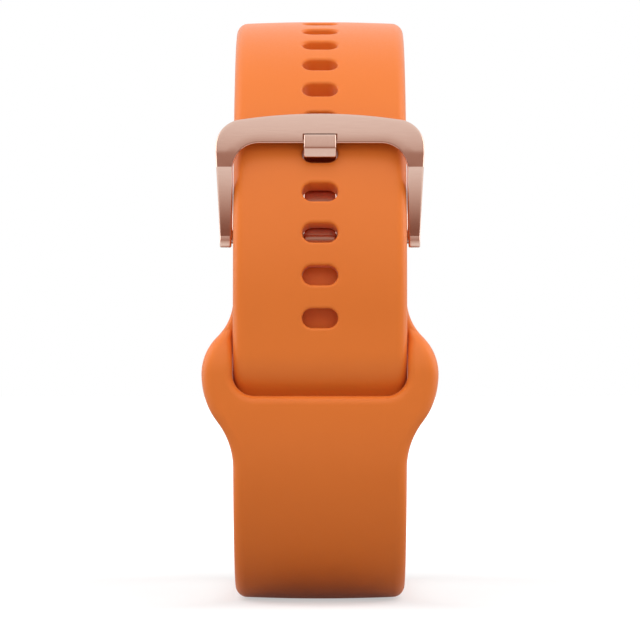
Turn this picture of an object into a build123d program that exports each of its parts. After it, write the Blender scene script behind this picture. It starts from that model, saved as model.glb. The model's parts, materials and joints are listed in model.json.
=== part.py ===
"""Slim GPS running watch, closed as on a wrist and stood on its band.

X runs across the band, -Y is the buckle side, +Y the display side and +Z is up.
The origin lies at the middle of the footprint, on the surface the band stands on.
All sizes are millimetres.
"""

import os
from math import acos, asin, cos, degrees, radians, sin

from build123d import *

os.makedirs("parts", exist_ok=True)

# ---------------------------------------------------------------- loop of the band
loop_radius = 34.9          # outside of the band over the top and down the buckle side
centre_height = 34.3        # loop centre above the surface
bend_drop = 0.2             # foot of the free end's dive down to the start of the big bend
heel_turn = 68.0            # degrees that the foot turns up to the lower lug
band_width = 20.0
band_thickness = 2.4
layer_gap = 0.08            # between the two band halves where they lie on each other
band_edge_round = 0.9
tongue_width = 16.0         # band end between the lugs
tongue_radius = 1.6
lug_shoulder_gap = 0.3      # lug to the band's shoulder around it

# ---------------------------------------------------------------- adjustment holes
hole_count = 11
hole_pitch = 5.0
hole_length = 4.1           # across the band
hole_height = 2.33
first_hole_angle = -1.7     # degrees above the loop centre, seen from the loop axis
used_hole = 4               # the tang's hole, counted from the free end, from 0

# ---------------------------------------------------------------- tuck-in loop
lip_drop = 9.9              # loop centre down to the lip that the free end dives under
lip_corner = 2.5
slot_clearance = 0.2
dive_start = 5.1            # loop centre down to where the free end begins to dive
dive_length = 6.0
tail_sweep = 32.0           # degrees of the big bend that the free end follows
tail_run_out = 4.0          # degrees that the slot goes on past the free end
tail_corner = 7.0
flare_half_width = 13.6
flare_top = 1.2             # above the loop centre
flare_peak = 7.4            # below the loop centre
flare_foot = 18.6           # below the loop centre

# ---------------------------------------------------------------- spring bars
bar_radius = 0.75
bar_wall = 0.25
bar_fit = 0.05              # running fit of tips, plungers and stems
bar_end_gap = 0.3           # tube end to the lug or foot beside it
tip_radius = 0.4
plunger_length = 4.0        # guided part inside the tube
spring_coils = 5
spring_wall = 0.1
spring_seat = 0.02
lever_travel = 1.5
lever_radius = 0.35
lever_place = 5.2           # from the middle of the bar
lever_reach = 1.95          # beyond the pin axis
lever_slot_side = 0.2

# ---------------------------------------------------------------- buckle
pin_height = 8.0            # buckle pin above the loop centre
frame_gap = 0.2             # band edge to the buckle's arms
foot_half = 11.45
arm_half = 12.03
arm_corner_drop = 4.46        # cross bar's top down to where the arms turn into the corners
bar_low_step = 0.22         # along the band, middle of the used hole up to the cross bar
bar_height = 4.08           # along the band
bar_lift = 0.25             # band to the buckle's cross bar
bar_thickness = 1.5
bar_arch_radius = 60.0
corner_outside = 3.2
corner_inside = 3.0
arm_top_drop = 1.52         # along the band, cross bar down to where the arms leave its curve
bar_run_out = 3.0           # degrees that the side view goes past the bar, for the front view to cut
foot_radius = 0.87
foot_tip_reach = 0.9
tang_width = 3.7
tang_thickness = 0.9
tang_drop = 0.22            # band's underside to the tang's blade
tang_eye_radius = 1.1
fork_clearance = 0.4        # eye to the band's fork
tang_rise_drop = 0.54       # along the band, middle of the used hole down to the shank's lower face
pad_length = 1.86           # along the band, from that face to the tang's tip
tang_bend = 0.5
notch_clearance = 0.15
notch_floor = 0.75          # cross bar left under the tang's tip
rest_margin = 0.3           # degrees between the tang's tip and the end of its rest
pad_lift = 0.05

# ---------------------------------------------------------------- watch head
case_width = 22.0
case_length = 39.0
case_corner = 7.0
case_drop = 3.5             # case centre below the loop centre
back_y = 29.4               # wrist side of the case back
pin_back = 2.0              # lug pins in front of the wrist side
pin_reach = 2.2             # case end wall to the lug pin
lug_wall = 2.4
lug_gap = 0.2               # tongue to lug
lug_radius = 2.1
lug_root_radius = 3.3
lug_root_inset = 7.0
lug_tip_reach = 1.1
case_front_y = 38.8
wall = 1.5
front_wall = 1.0
seat_gap = 0.05             # between pieces that sit in each other
case_round = 1.2
back_thickness = 1.6
back_inset = 0.3
back_round = 1.1
bezel_inset = 0.5
bezel_width = 1.2
bezel_height = 0.65
bezel_round = 0.4
glass_thickness = 1.6
glass_round = 0.6
glass_ledge = 1.2
glass_recess = 0.8
adhesive_thickness = 0.1

display_gap = 0.2
display_thickness = 1.1
midframe_thickness = 0.7
board_thickness = 0.8
stack_gap = 0.1
post_radius = 1.1
screw_inset = 3.4
battery_thickness = 3.0
board_side_gap = 1.1        # battery and shield to the case's side wall
battery_switch_gap = 0.6
battery_post_gap = 0.35     # above the lower screw posts
battery_shield_gap = 0.65
shield_height = 4.2
shield_thickness = 1.2
shield_z = 4.6
shield_chip_gap = 1.5
antenna_thickness = 2.0
antenna_side_gap = 2.5      # to the case's side wall
antenna_motor_gap = 0.5
antenna_post_gap = 0.2      # below the upper screw posts
antenna_shield_gap = 0.5
chip_size = (1.6, 0.6, 1.6)
chip_pitch = 2.6
chip_side_gap = 2.2         # to the case's side wall
chip_z = 4.8
component_corner = 0.5

motor_radius = 3.3
motor_height = 2.3
motor_wall = 0.25
motor_side_gap = 1.8        # to the case's side wall
motor_end_gap = 2.1         # to the case's upper wall
motor_shaft_radius = 0.3
weight_radius = 2.7
weight_hub_radius = 0.9
weight_height = 1.0

button_height = -0.5        # above the case centre
button_y = 34.4
button_length = 5.0
button_breadth = 2.2
button_proud = 1.0
button_travel = 0.5
button_pocket = 0.8
button_fit = 0.15
button_round = 0.4
stem_radius = 0.7
boss_radius = 1.6
boss_depth = 1.1
seal_radius = 0.25
seal_fit = 0.02
clip_radius = 1.2
clip_thickness = 0.3
clip_groove = 0.2
switch_size = (1.2, 1.85, 3.4)
board_notch = (2.0, 5.0)

sensor_radius = 5.0
sensor_dome = 0.5
sensor_seat = 0.9
sensor_ledge = 0.7
sensor_height = 3.0         # above the case centre
sensor_board_size = (11.0, 0.6, 11.0)
led_size = (1.1, 0.5, 1.1)
led_pitch = 1.8
diode_pitch = 5.4
contact_radius = 0.6
contact_pitch = 2.6
contact_count = 4
contact_height = -9.5
contact_depth = 2.1
screw_head_radius = 0.85
screw_head_height = 0.5
screw_shank_radius = 0.5
screw_length = 4.0
gasket_section = 0.5

# ---------------------------------------------------------------- derived places
half_band = band_width / 2
slot_width = band_width + 2 * slot_clearance
half_thickness = band_thickness / 2
outer_path = loop_radius - half_thickness
layer_step = band_thickness + layer_gap
inner_path = outer_path - layer_step
pin_angle = degrees(asin(pin_height / inner_path))
pitch_angle = degrees(hole_pitch / loop_radius)
used_hole_angle = first_hole_angle + used_hole * pitch_angle
bar_low_angle = used_hole_angle + degrees(bar_low_step / loop_radius)
bar_high_angle = bar_low_angle + degrees(bar_height / loop_radius)
arm_top_angle = bar_low_angle - degrees(arm_top_drop / loop_radius)
tang_rise_angle = used_hole_angle - degrees(tang_rise_drop / loop_radius)
tang_pad_angle = tang_rise_angle + degrees(pad_length / loop_radius)
inside = loop_radius - band_thickness        # underside of the outer layer

case_z = centre_height - case_drop
half_case = case_length / 2
pin_y = back_y + pin_back
upper_pin = Vector(pin_y, case_z + half_case + pin_reach)
lower_pin = Vector(pin_y, case_z - half_case - pin_reach)
crown = Vector(0, centre_height + outer_path)
crown_drop = crown.Y - upper_pin.Y
nape_radius = (upper_pin.X**2 + crown_drop**2) / (2 * crown_drop)
nape_centre = Vector(0, crown.Y - nape_radius)
heel_radius = (lower_pin.Y - half_thickness) / (1 - cos(radians(heel_turn)))
corner_radius = centre_height - dive_start - dive_length - bend_drop
heel_start = Vector(lower_pin.X - heel_radius * sin(radians(heel_turn)), half_thickness)
heel_centre = heel_start + Vector(0, heel_radius)
bend_centre = Vector(corner_radius - loop_radius, corner_radius)
front_y = -outer_path
lip_z = centre_height - lip_drop
buckle_pin = Vector(-inner_path * cos(radians(pin_angle)), centre_height + pin_height)
dive_top = Vector(front_y, centre_height - dive_start)
dive_foot = Vector(-inner_path, dive_top.Y - dive_length)
tail_top = Vector(-inner_path, bend_centre.Y)
tail_bend = inner_path + bend_centre.X
cheek_sweep = degrees(acos((inner_path - half_thickness + bend_centre.X) / corner_radius))
side_plane = Plane.YZ
front_plane = Plane.XZ
far = 60.0                                   # past every face, for cutting tools


def around(radius, angle):
    """Point in the side view, at an angle above the front of the loop."""
    turn = radians(angle)
    return Vector(-radius * cos(turn), centre_height + radius * sin(turn))


def write(part, name):
    part.label = name
    export_step(part, f"parts/{name}.step")


def s_bend(start, end, tangent):
    """Two equal arcs that leave and arrive along the same direction."""
    middle = (Vector(*start) + Vector(*end)) / 2
    first = TangentArc(start, middle, tangent=tangent)
    TangentArc(middle, end, tangent=first % 1)


def head_plane(y):
    """Plane across the head with its origin on the case centre; positive depth is towards the wrist."""
    return Plane(origin=(0, y, case_z), x_dir=(1, 0, 0), z_dir=(0, -1, 0))


def skin_plane(angle, radius):
    """Plane tangent to the loop, with Z pointing out of it."""
    place = around(radius, angle)
    out = (place - Vector(0, centre_height)) / radius
    return Plane(origin=(0, place.X, place.Y), x_dir=(1, 0, 0), z_dir=(0, out.X, out.Y))


def across(x, pin):
    """Plane normal to X, with its origin on a pin's axis."""
    return Plane(origin=(x, pin.X, pin.Y), x_dir=(0, 1, 0), z_dir=(1, 0, 0))


def dive_path():
    """Centre line of the free end, from the loop centre's height through the lip to the bend."""
    Line((front_y, centre_height), dive_top)
    s_bend(dive_top, dive_foot, (0, -1))
    Line(dive_foot, tail_top)


def lever_plane(x, pin, centre):
    """Plane on a lug pin's axis that faces the wrist."""
    inward = (centre - pin).normalized()
    return Plane(origin=(x, pin.X, pin.Y), x_dir=(1, 0, 0), z_dir=(0, inward.X, inward.Y))


def lug_end(pin, centre):
    """Narrow the band between the lugs, round its end and open it for the bar and lever."""
    shoulder = lug_radius + lug_shoulder_gap
    for side in (-1, 1):
        with BuildSketch(across(side * tongue_width / 2, pin)) as shoulder_cut:
            Circle(shoulder)
        extrude(shoulder_cut.sketch, amount=side * band_width, mode=Mode.SUBTRACT)
    with BuildSketch(across(0, pin)) as tongue:
        Circle(tongue_radius)
    extrude(tongue.sketch, amount=tongue_width / 2, both=True)
    with BuildSketch(across(0, pin)) as bore:
        Circle(bar_radius + bar_fit)
    extrude(bore.sketch, amount=tongue_width, both=True, mode=Mode.SUBTRACT)
    with BuildSketch(lever_plane(lever_place - lever_travel / 2, pin, centre)) as lever_slot:
        SlotOverall(lever_travel + 2 * (lever_radius + lever_slot_side),
                    2 * (lever_radius + lever_slot_side))
    extrude(lever_slot.sketch, amount=2 * tongue_radius, mode=Mode.SUBTRACT)


# ================================================================ band
with BuildPart() as band_long:
    with BuildSketch(side_plane):
        with BuildLine():
            nape_turn = degrees(asin(upper_pin.X / nape_radius))
            CenterArc(nape_centre, nape_radius, 90 - nape_turn, nape_turn)
            CenterArc((0, centre_height), outer_path, 90, 90)
            dive_path()
            tail_arc = CenterArc(bend_centre, tail_bend, 180, tail_sweep)
        trace(line_width=band_thickness)
        with Locations(upper_pin):
            Circle(half_thickness)
    extrude(amount=half_band, both=True)
    tail_end = tail_arc @ 1
    corners = (band_long.edges().filter_by(Axis.X, reverse=True)
               .sort_by_distance((0, tail_end.X, tail_end.Y))[:2])
    fillet(corners, radius=tail_corner)
    rim = band_long.edges().filter_by(
        lambda edge: abs(edge.length - band_thickness) > 0.01 and abs(edge.length - band_width) > 0.01)
    fillet(rim, radius=band_edge_round)
    lug_end(upper_pin, nape_centre)
    hole_planes = [skin_plane(first_hole_angle + pitch_angle * i, outer_path) for i in range(hole_count)]
    with BuildSketch(*hole_planes):
        SlotOverall(hole_length, hole_height)
    extrude(amount=band_thickness, both=True, mode=Mode.SUBTRACT)
write(band_long.part, "band_long")


# What the window in the short half takes away in front of the free end.
with BuildPart() as window:
    with BuildSketch(side_plane):
        with BuildLine():
            dive_path()
            Polyline(tail_top, (-far, tail_top.Y), (-far, centre_height), (front_y, centre_height))
        make_face()
    extrude(amount=slot_width / 2, both=True)
    with BuildSketch(front_plane):
        with Locations((0, lip_z)):
            RectangleRounded(slot_width, 2 * lip_drop, lip_corner, align=(Align.CENTER, Align.MIN))
    extrude(amount=2 * far, both=True, mode=Mode.INTERSECT)

with BuildPart() as band_short:
    # The moulded strip: heel, foot, big bend, cheeks beside the free end, pin end.
    with BuildSketch(side_plane):
        with BuildLine():
            CenterArc(heel_centre, heel_radius, 270 + heel_turn, -heel_turn)
            Line(heel_start, (bend_centre.X, half_thickness))
            CenterArc(bend_centre, corner_radius - half_thickness, 270, -90)
            Line((front_y, bend_centre.Y), (front_y, lip_z - half_thickness))
        trace(line_width=band_thickness)
        with Locations(lower_pin, (front_y, lip_z - half_thickness)):
            Circle(half_thickness)
        with BuildLine():
            CenterArc((0, centre_height), inner_path, 180, -pin_angle)
            Line((-inner_path, centre_height), (-inner_path, dive_top.Y))
        trace(line_width=band_thickness)
        with Locations(buckle_pin):
            Circle(half_thickness)
        with BuildLine():
            cheek_top = (-inner_path - half_thickness, centre_height)
            cheek_peak = (-loop_radius, centre_height - flare_peak)
            s_bend(cheek_top, cheek_peak, (0, -1))
            Line(cheek_peak, (-loop_radius, bend_centre.Y))
            cheek_foot = CenterArc(bend_centre, corner_radius, 180, cheek_sweep) @ 1
            Polyline(cheek_foot, (cheek_foot.X, centre_height), cheek_top)
        make_face()
    extrude(amount=flare_half_width, both=True)
    # Front outline: the band's width, swelling beside the free end.
    with BuildSketch(front_plane):
        with BuildLine():
            top_right = (half_band, centre_height + flare_top)
            peak_right = (flare_half_width, centre_height - flare_peak)
            foot_right = (half_band, centre_height - flare_foot)
            s_bend(top_right, peak_right, (0, -1))
            s_bend(peak_right, foot_right, (0, -1))
            mirror(about=Plane.YZ)
            Line(top_right, (-half_band, centre_height + flare_top))
            Line(foot_right, (-half_band, centre_height - flare_foot))
        make_face()
        with Locations((0, centre_height)):
            Rectangle(band_width, 2 * far)
    extrude(amount=far, both=True, mode=Mode.INTERSECT)
    rim = (band_short.edges().filter_by(Axis.X, reverse=True).filter_by(Axis.Y, reverse=True))
    fillet(rim, radius=band_edge_round)
    # The free end passes between the cheeks and under the lip.
    with BuildSketch(side_plane):
        with BuildLine():
            dive_path()
            CenterArc(bend_centre, tail_bend, 180, tail_sweep + tail_run_out)
        trace(line_width=band_thickness + 2 * layer_gap)
    extrude(amount=slot_width / 2, both=True, mode=Mode.SUBTRACT)
    # Behind the free end the cheeks stand open, down to where it stops.
    with BuildSketch(side_plane):
        with BuildLine():
            dive_path()
            sweep_end = CenterArc(bend_centre, tail_bend, 180, tail_sweep + tail_run_out) @ 1
            Polyline(sweep_end, bend_centre, (bend_centre.X, lip_z), (bend_centre.X, centre_height),
                     (front_y, centre_height))
        make_face()
        with Locations((bend_centre.X, centre_height - dive_start - layer_gap)):
            Rectangle(2 * far, far, align=(Align.CENTER, Align.MIN), mode=Mode.SUBTRACT)
    extrude(amount=slot_width / 2, both=True, mode=Mode.SUBTRACT)
    # In front of it the window ends at the lip, with rounded corners.
    add(window.part, mode=Mode.SUBTRACT)
    # Fork for the tang, bore for the buckle bar.
    with BuildSketch(side_plane):
        with Locations(buckle_pin):
            Circle(tang_eye_radius + fork_clearance)
    extrude(amount=tang_width / 2 + slot_clearance, both=True, mode=Mode.SUBTRACT)
    with BuildSketch(side_plane):
        with Locations(buckle_pin):
            Circle(bar_radius + bar_fit)
    extrude(amount=band_width, both=True, mode=Mode.SUBTRACT)
    lug_end(lower_pin, heel_centre)
write(band_short.part, "band_short")


# ================================================================ buckle
bar_inside = loop_radius + bar_lift
bar_outside = bar_inside + bar_thickness
frame_half = half_band + frame_gap
bar_top = centre_height + bar_outside * sin(radians(bar_high_angle))
bar_bottom = centre_height + bar_outside * sin(radians(bar_low_angle))
arm_line = (around(bar_inside + bar_thickness / 2, bar_low_angle) - buckle_pin).normalized()
arm_normal = Vector(-arm_line.Y, arm_line.X)

with BuildPart() as buckle_frame:
    # Side view: the cross bar follows the band, the arms run in to the pin.
    with BuildSketch(side_plane):
        with BuildLine():
            rise = bar_high_angle - arm_top_angle + bar_run_out
            outer_arc = CenterArc((0, centre_height), bar_outside, 180 - arm_top_angle - rise, rise)
            inner_arc = CenterArc((0, centre_height), bar_inside, 180 - arm_top_angle - rise, rise)
            outer_foot = buckle_pin + arm_normal * foot_radius
            inner_foot = buckle_pin - arm_normal * foot_radius
            TangentArc(outer_arc @ 1, outer_foot, tangent=outer_arc % 1)
            TangentArc(inner_arc @ 1, inner_foot, tangent=inner_arc % 1)
            Line(outer_foot, inner_foot)
            Line(outer_arc @ 0, inner_arc @ 0)
        make_face()
        with Locations(buckle_pin):
            Circle(foot_radius)
    extrude(amount=far, both=True)
    # Front view: an arched bar with round corners over two tapering arms.
    with BuildSketch(front_plane) as frame_front:
        with BuildLine():
            foot_z = centre_height + pin_height - 2 * foot_radius
            turn_z = bar_top - arm_corner_drop
            shoulder_z = bar_top - arm_half**2 / (2 * bar_arch_radius)
            Polyline((-arm_half, shoulder_z), (-arm_half, turn_z), (-foot_half, foot_z),
                     (foot_half, foot_z), (arm_half, turn_z), (arm_half, shoulder_z))
            ThreePointArc((-arm_half, shoulder_z), (0, bar_top), (arm_half, shoulder_z))
        make_face()
        fillet(frame_front.vertices().group_by(Axis.Y)[-1], radius=corner_outside)
    extrude(amount=far, both=True, mode=Mode.INTERSECT)
    with BuildSketch(front_plane) as frame_inside:
        with Locations((0, bar_bottom)):
            Rectangle(2 * frame_half, far, align=(Align.CENTER, Align.MAX))
        fillet(frame_inside.vertices().group_by(Axis.Y)[-1], radius=corner_inside)
    extrude(amount=far, both=True, mode=Mode.SUBTRACT)
    # Rest for the tang's tip, and a hole in each foot for the bar's tips.
    with BuildSketch(side_plane):
        with BuildLine():
            rest_floor = bar_inside + notch_floor
            low = bar_low_angle - bar_run_out
            high = tang_pad_angle + rest_margin
            floor_arc = CenterArc((0, centre_height), rest_floor, 180 - high, high - low)
            over_arc = CenterArc((0, centre_height), rest_floor + bar_thickness, 180 - high, high - low)
            Line(floor_arc @ 0, over_arc @ 0)
            Line(floor_arc @ 1, over_arc @ 1)
        make_face()
    extrude(amount=tang_width / 2 + notch_clearance, both=True, mode=Mode.SUBTRACT)
    with BuildSketch(side_plane):
        with Locations(buckle_pin):
            Circle(tip_radius + bar_fit)
    extrude(amount=frame_half + foot_tip_reach + bar_fit, both=True, mode=Mode.SUBTRACT)
write(buckle_frame.part, "buckle_frame")

blade_out = inside - tang_drop
blade_in = blade_out - tang_thickness
pad_in = bar_inside + notch_floor + pad_lift
pad_out = pad_in + tang_thickness
shank_turn = degrees(tang_thickness / loop_radius)

with BuildPart() as buckle_tang:
    with BuildSketch(side_plane) as tang_side:
        with BuildLine():
            shank_top = tang_rise_angle + shank_turn
            Polyline(around(blade_in, pin_angle), around(blade_out, pin_angle))
            blade_top = CenterArc((0, centre_height), blade_out, 180 - tang_rise_angle,
                                  tang_rise_angle - pin_angle)
            blade_under = CenterArc((0, centre_height), blade_in, 180 - shank_top, shank_top - pin_angle)
            pad_top = CenterArc((0, centre_height), pad_out, 180 - tang_pad_angle,
                                tang_pad_angle - tang_rise_angle)
            pad_under = CenterArc((0, centre_height), pad_in, 180 - tang_pad_angle,
                                  tang_pad_angle - shank_top)
            Line(blade_top @ 0, pad_top @ 1)
            Line(blade_under @ 0, pad_under @ 1)
            Line(pad_under @ 0, pad_top @ 0)
        make_face()
        heel = tang_side.vertices().sort_by_distance(around(pad_out, tang_rise_angle))[0]
        sole = tang_side.vertices().sort_by_distance(around(blade_in, shank_top))[0]
        fillet([heel, sole], radius=tang_bend)
        with Locations(buckle_pin):
            Circle(tang_eye_radius)
            Circle(bar_radius + bar_fit, mode=Mode.SUBTRACT)
    extrude(amount=tang_width / 2, both=True)
write(buckle_tang.part, "buckle_tang")


# ================================================================ spring bars
tube_bore = bar_radius - bar_wall
plunger_radius = tube_bore - bar_fit


def rod(pin, start, end, radius):
    """Round bar along X between two places, on a pin's axis, for the part being built."""
    with BuildSketch(across(start, pin)) as section:
        Circle(radius)
    extrude(section.sketch, amount=end - start)


def bore(pin, start, end, radius):
    """Round hole along X between two places, on a pin's axis, in the part being built."""
    with BuildSketch(across(start, pin)) as section:
        Circle(radius)
    extrude(section.sketch, amount=end - start, mode=Mode.SUBTRACT)


def coil(pin, start, end):
    """Closed bellows with the outside of a coil spring, in the bore of a tube."""
    crest = plunger_radius - spring_seat
    step = (end - start) / (2 * spring_coils)
    outer = [(start + i * step, crest - spring_wall * ((i + 1) % 2)) for i in range(2 * spring_coils + 1)]
    inner = [(x, radius - spring_wall) for x, radius in reversed(outer)]
    with BuildPart() as spring:
        with BuildSketch(Plane(origin=(0, pin.X, pin.Y), x_dir=(1, 0, 0), z_dir=(0, -1, 0))):
            with BuildLine():
                Polyline(*outer, *inner, close=True)
            make_face()
        revolve(axis=Axis((0, pin.X, pin.Y), (1, 0, 0)))
    return spring.part


# The buckle's bar: a tube with a sprung plunger at each end.
buckle_tube_half = frame_half - bar_end_gap
with BuildPart() as buckle_bar_tube:
    rod(buckle_pin, -buckle_tube_half, buckle_tube_half, bar_radius)
    bore(buckle_pin, -buckle_tube_half, buckle_tube_half, tube_bore)
write(buckle_bar_tube.part, "buckle_bar_tube")

buckle_tip_end = frame_half + foot_tip_reach
buckle_plunger_end = buckle_tube_half - bar_end_gap
for side, hand in ((-1, "left"), (1, "right")):
    with BuildPart() as plunger:
        rod(buckle_pin, side * (buckle_plunger_end - plunger_length), side * buckle_plunger_end,
            plunger_radius)
        rod(buckle_pin, side * buckle_plunger_end, side * buckle_tip_end, tip_radius)
    write(plunger.part, f"buckle_bar_plunger_{hand}")
buckle_spring_end = buckle_plunger_end - plunger_length - spring_seat
write(coil(buckle_pin, -buckle_spring_end, buckle_spring_end), "buckle_bar_spring")

# The lug bars: one fixed tip, one sprung tip with a lever that the wearer slides.
lug_inside = tongue_width / 2 + lug_gap
lug_tube_half = lug_inside - bar_end_gap
lug_tip_end = lug_inside + lug_tip_reach
lug_plunger_end = lug_tube_half - bar_end_gap
lug_spring_start = -lug_tube_half + bar_wall
lug_spring_end = lug_plunger_end - plunger_length - spring_seat
for place, pin, centre in (("upper", upper_pin, nape_centre), ("lower", lower_pin, heel_centre)):
    with BuildPart() as tube:
        rod(pin, -lug_tube_half, lug_tube_half, bar_radius)
        rod(pin, -lug_tip_end, -lug_tube_half, tip_radius)
        bore(pin, lug_spring_start, lug_tube_half, tube_bore)
        with BuildSketch(lever_plane(lever_place - lever_travel / 2, pin, centre)):
            SlotOverall(lever_travel + 2 * (lever_radius + bar_fit), 2 * (lever_radius + bar_fit))
        extrude(amount=2 * bar_radius, mode=Mode.SUBTRACT)
    write(tube.part, f"{place}_bar_tube")
    with BuildPart() as plunger:
        rod(pin, lug_plunger_end - plunger_length, lug_plunger_end, plunger_radius)
        rod(pin, lug_plunger_end, lug_tip_end, tip_radius)
        with BuildSketch(lever_plane(lever_place, pin, centre)):
            Circle(lever_radius)
        extrude(amount=lever_reach)
    write(plunger.part, f"{place}_bar_plunger")
    write(coil(pin, lug_spring_start + spring_seat, lug_spring_end), f"{place}_bar_spring")


# ================================================================ watch head
def outline(inset):
    """Size and corner of the case's outline, drawn in by an inset."""
    return (case_width - 2 * inset, case_length - 2 * inset, case_corner - inset)


def plate(y_back, y_front, inset):
    """Flat plate with the case's outline, for the part being built."""
    with BuildSketch(head_plane(y_back)) as section:
        RectangleRounded(*outline(inset))
    extrude(section.sketch, amount=y_back - y_front)


def pocket(y_back, y_front, inset):
    """Pocket with the case's outline, in the part being built."""
    with BuildSketch(head_plane(y_back)) as section:
        RectangleRounded(*outline(inset))
    extrude(section.sketch, amount=y_back - y_front, mode=Mode.SUBTRACT)


def block(size, place, y_front):
    """Cuboid on the wrist side of a face, centred at a place on the head."""
    with BuildSketch(head_plane(y_front)) as section:
        with Locations(place):
            Rectangle(size[0], size[2])
    extrude(section.sketch, amount=size[1])


back_top = back_y + back_thickness
recess_floor = case_front_y - glass_recess
cavity_top = recess_floor - front_wall
glass_inset = bezel_inset + bezel_width
window_inset = glass_inset + glass_ledge
glass_back = recess_floor + adhesive_thickness
display_back = recess_floor - display_thickness
midframe_front = cavity_top - 2 * stack_gap
midframe_back = midframe_front - midframe_thickness
board_front = midframe_back - stack_gap
board_back = board_front - board_thickness
screw_x = case_width / 2 - screw_inset
screw_z = case_length / 2 - screw_inset
side_x = case_width / 2
inner_x = side_x - wall
pocket_x = side_x - button_pocket
boss_x = inner_x - boss_depth
button_centre = Vector(button_y, case_z + button_height)
lug_middle = lug_inside + lug_wall / 2
switch_face = inner_x - board_notch[0] - stack_gap
motor_place = (-inner_x + motor_side_gap + motor_radius, half_case - wall - motor_end_gap - motor_radius)
antenna_left = motor_place[0] + motor_radius + antenna_motor_gap
antenna_right = inner_x - antenna_side_gap
antenna_bottom = shield_z + shield_height / 2 + antenna_shield_gap
antenna_top = screw_z - post_radius - antenna_post_gap
antenna_size = (antenna_right - antenna_left, antenna_thickness, antenna_top - antenna_bottom)
antenna_place = ((antenna_left + antenna_right) / 2, (antenna_bottom + antenna_top) / 2)
chip_place = (inner_x - chip_side_gap - (chip_pitch + chip_size[0]) / 2, chip_z)
shield_left = -inner_x + board_side_gap
shield_right = chip_place[0] - (chip_pitch + chip_size[0]) / 2 - shield_chip_gap
shield_size = (shield_right - shield_left, shield_thickness, shield_height)
shield_place = ((shield_left + shield_right) / 2, shield_z)
battery_left = -inner_x + board_side_gap
battery_right = switch_face - switch_size[0] - battery_switch_gap
battery_bottom = post_radius - screw_z + battery_post_gap
battery_top = shield_z - shield_height / 2 - battery_shield_gap
battery_size = (battery_right - battery_left, battery_thickness, battery_top - battery_bottom)
battery_place = ((battery_left + battery_right) / 2, (battery_bottom + battery_top) / 2)

with BuildPart() as case_body:
    plate(back_top, case_front_y, 0)
    fillet(case_body.faces().sort_by(Axis.Y)[-1].edges(), radius=case_round)
    for pin, side in ((upper_pin, 1), (lower_pin, -1)):
        for x in (-lug_middle, lug_middle):
            with BuildSketch(across(x, pin)):
                root_z = case_z + side * (half_case - lug_root_inset)
                root = Vector((back_top + case_front_y) / 2, root_z) - pin
                Circle(lug_radius)
                with Locations(root):
                    Circle(lug_root_radius)
                make_hull()
            extrude(amount=lug_wall / 2, both=True)
    pocket(back_top, cavity_top, wall)
    pocket(cavity_top, case_front_y, window_inset)
    pocket(recess_floor, case_front_y + bezel_height, glass_inset - seat_gap)
    # Posts for the back's screws.
    with BuildSketch(head_plane(back_top)):
        with GridLocations(2 * screw_x, 2 * screw_z, 2, 2):
            Circle(post_radius)
    extrude(amount=back_top - cavity_top)
    with BuildSketch(head_plane(back_top)):
        with GridLocations(2 * screw_x, 2 * screw_z, 2, 2):
            Circle(screw_shank_radius)
    extrude(amount=back_top - cavity_top, mode=Mode.SUBTRACT)
    # Room for the back between the lugs, and a groove for its gasket in the rim.
    pocket(back_y - back_thickness, back_top, back_inset - seat_gap)
    with BuildSketch(head_plane(back_top)):
        RectangleRounded(*outline((wall - gasket_section) / 2 - seat_gap))
        RectangleRounded(*outline((wall + gasket_section) / 2 + seat_gap), mode=Mode.SUBTRACT)
    extrude(amount=-gasket_section, mode=Mode.SUBTRACT)
    # Side button: a boss inside, a pocket outside, a stepped bore for stem and seal.
    with BuildSketch(across(boss_x, button_centre)):
        Circle(boss_radius)
    extrude(amount=boss_depth)
    with BuildSketch(across(pocket_x, button_centre)):
        SlotOverall(button_length + 2 * button_fit, button_breadth + 2 * button_fit, rotation=90)
    extrude(amount=2 * button_pocket, mode=Mode.SUBTRACT)
    bore(button_centre, boss_x - seat_gap, side_x, stem_radius + bar_fit)
    seal_bore = stem_radius + seal_fit + 2 * seal_radius + seal_fit
    bore(button_centre, boss_x, boss_x + 2 * seal_radius + 2 * seat_gap, seal_bore)
    # Holes in the lugs for the bars' tips.
    for pin in (upper_pin, lower_pin):
        bore(pin, -lug_tip_end - bar_fit, -lug_inside + bar_fit, tip_radius + bar_fit)
        bore(pin, lug_inside - bar_fit, lug_tip_end + bar_fit, tip_radius + bar_fit)
write(case_body.part, "case_body")

with BuildPart() as bezel:
    plate(case_front_y, case_front_y + bezel_height, bezel_inset)
    fillet(bezel.faces().sort_by(Axis.Y)[-1].edges(), radius=bezel_round)
    pocket(case_front_y, case_front_y + bezel_height, glass_inset - seat_gap)
write(bezel.part, "bezel")

with BuildPart() as cover_glass:
    plate(glass_back, glass_back + glass_thickness, glass_inset)
    fillet(cover_glass.faces().sort_by(Axis.Y)[-1].edges(), radius=glass_round)
write(cover_glass.part, "cover_glass")

with BuildPart() as glass_adhesive:
    plate(recess_floor, glass_back, glass_inset + seat_gap)
    pocket(recess_floor, glass_back, window_inset)
write(glass_adhesive.part, "glass_adhesive")

with BuildPart() as display_panel:
    plate(display_back, recess_floor, window_inset + display_gap)
write(display_panel.part, "display_panel")


def inner_plate(y_back, y_front, clearance):
    """Plate that fills the cavity and clears the screw posts, for the part being built."""
    plate(y_back, y_front, wall + clearance)
    with BuildSketch(head_plane(y_back)) as posts:
        with GridLocations(2 * screw_x, 2 * screw_z, 2, 2):
            Circle(post_radius + clearance)
    extrude(posts.sketch, amount=y_back - y_front, mode=Mode.SUBTRACT)


with BuildPart() as midframe:
    inner_plate(midframe_back, midframe_front, stack_gap)
write(midframe.part, "midframe")

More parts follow.
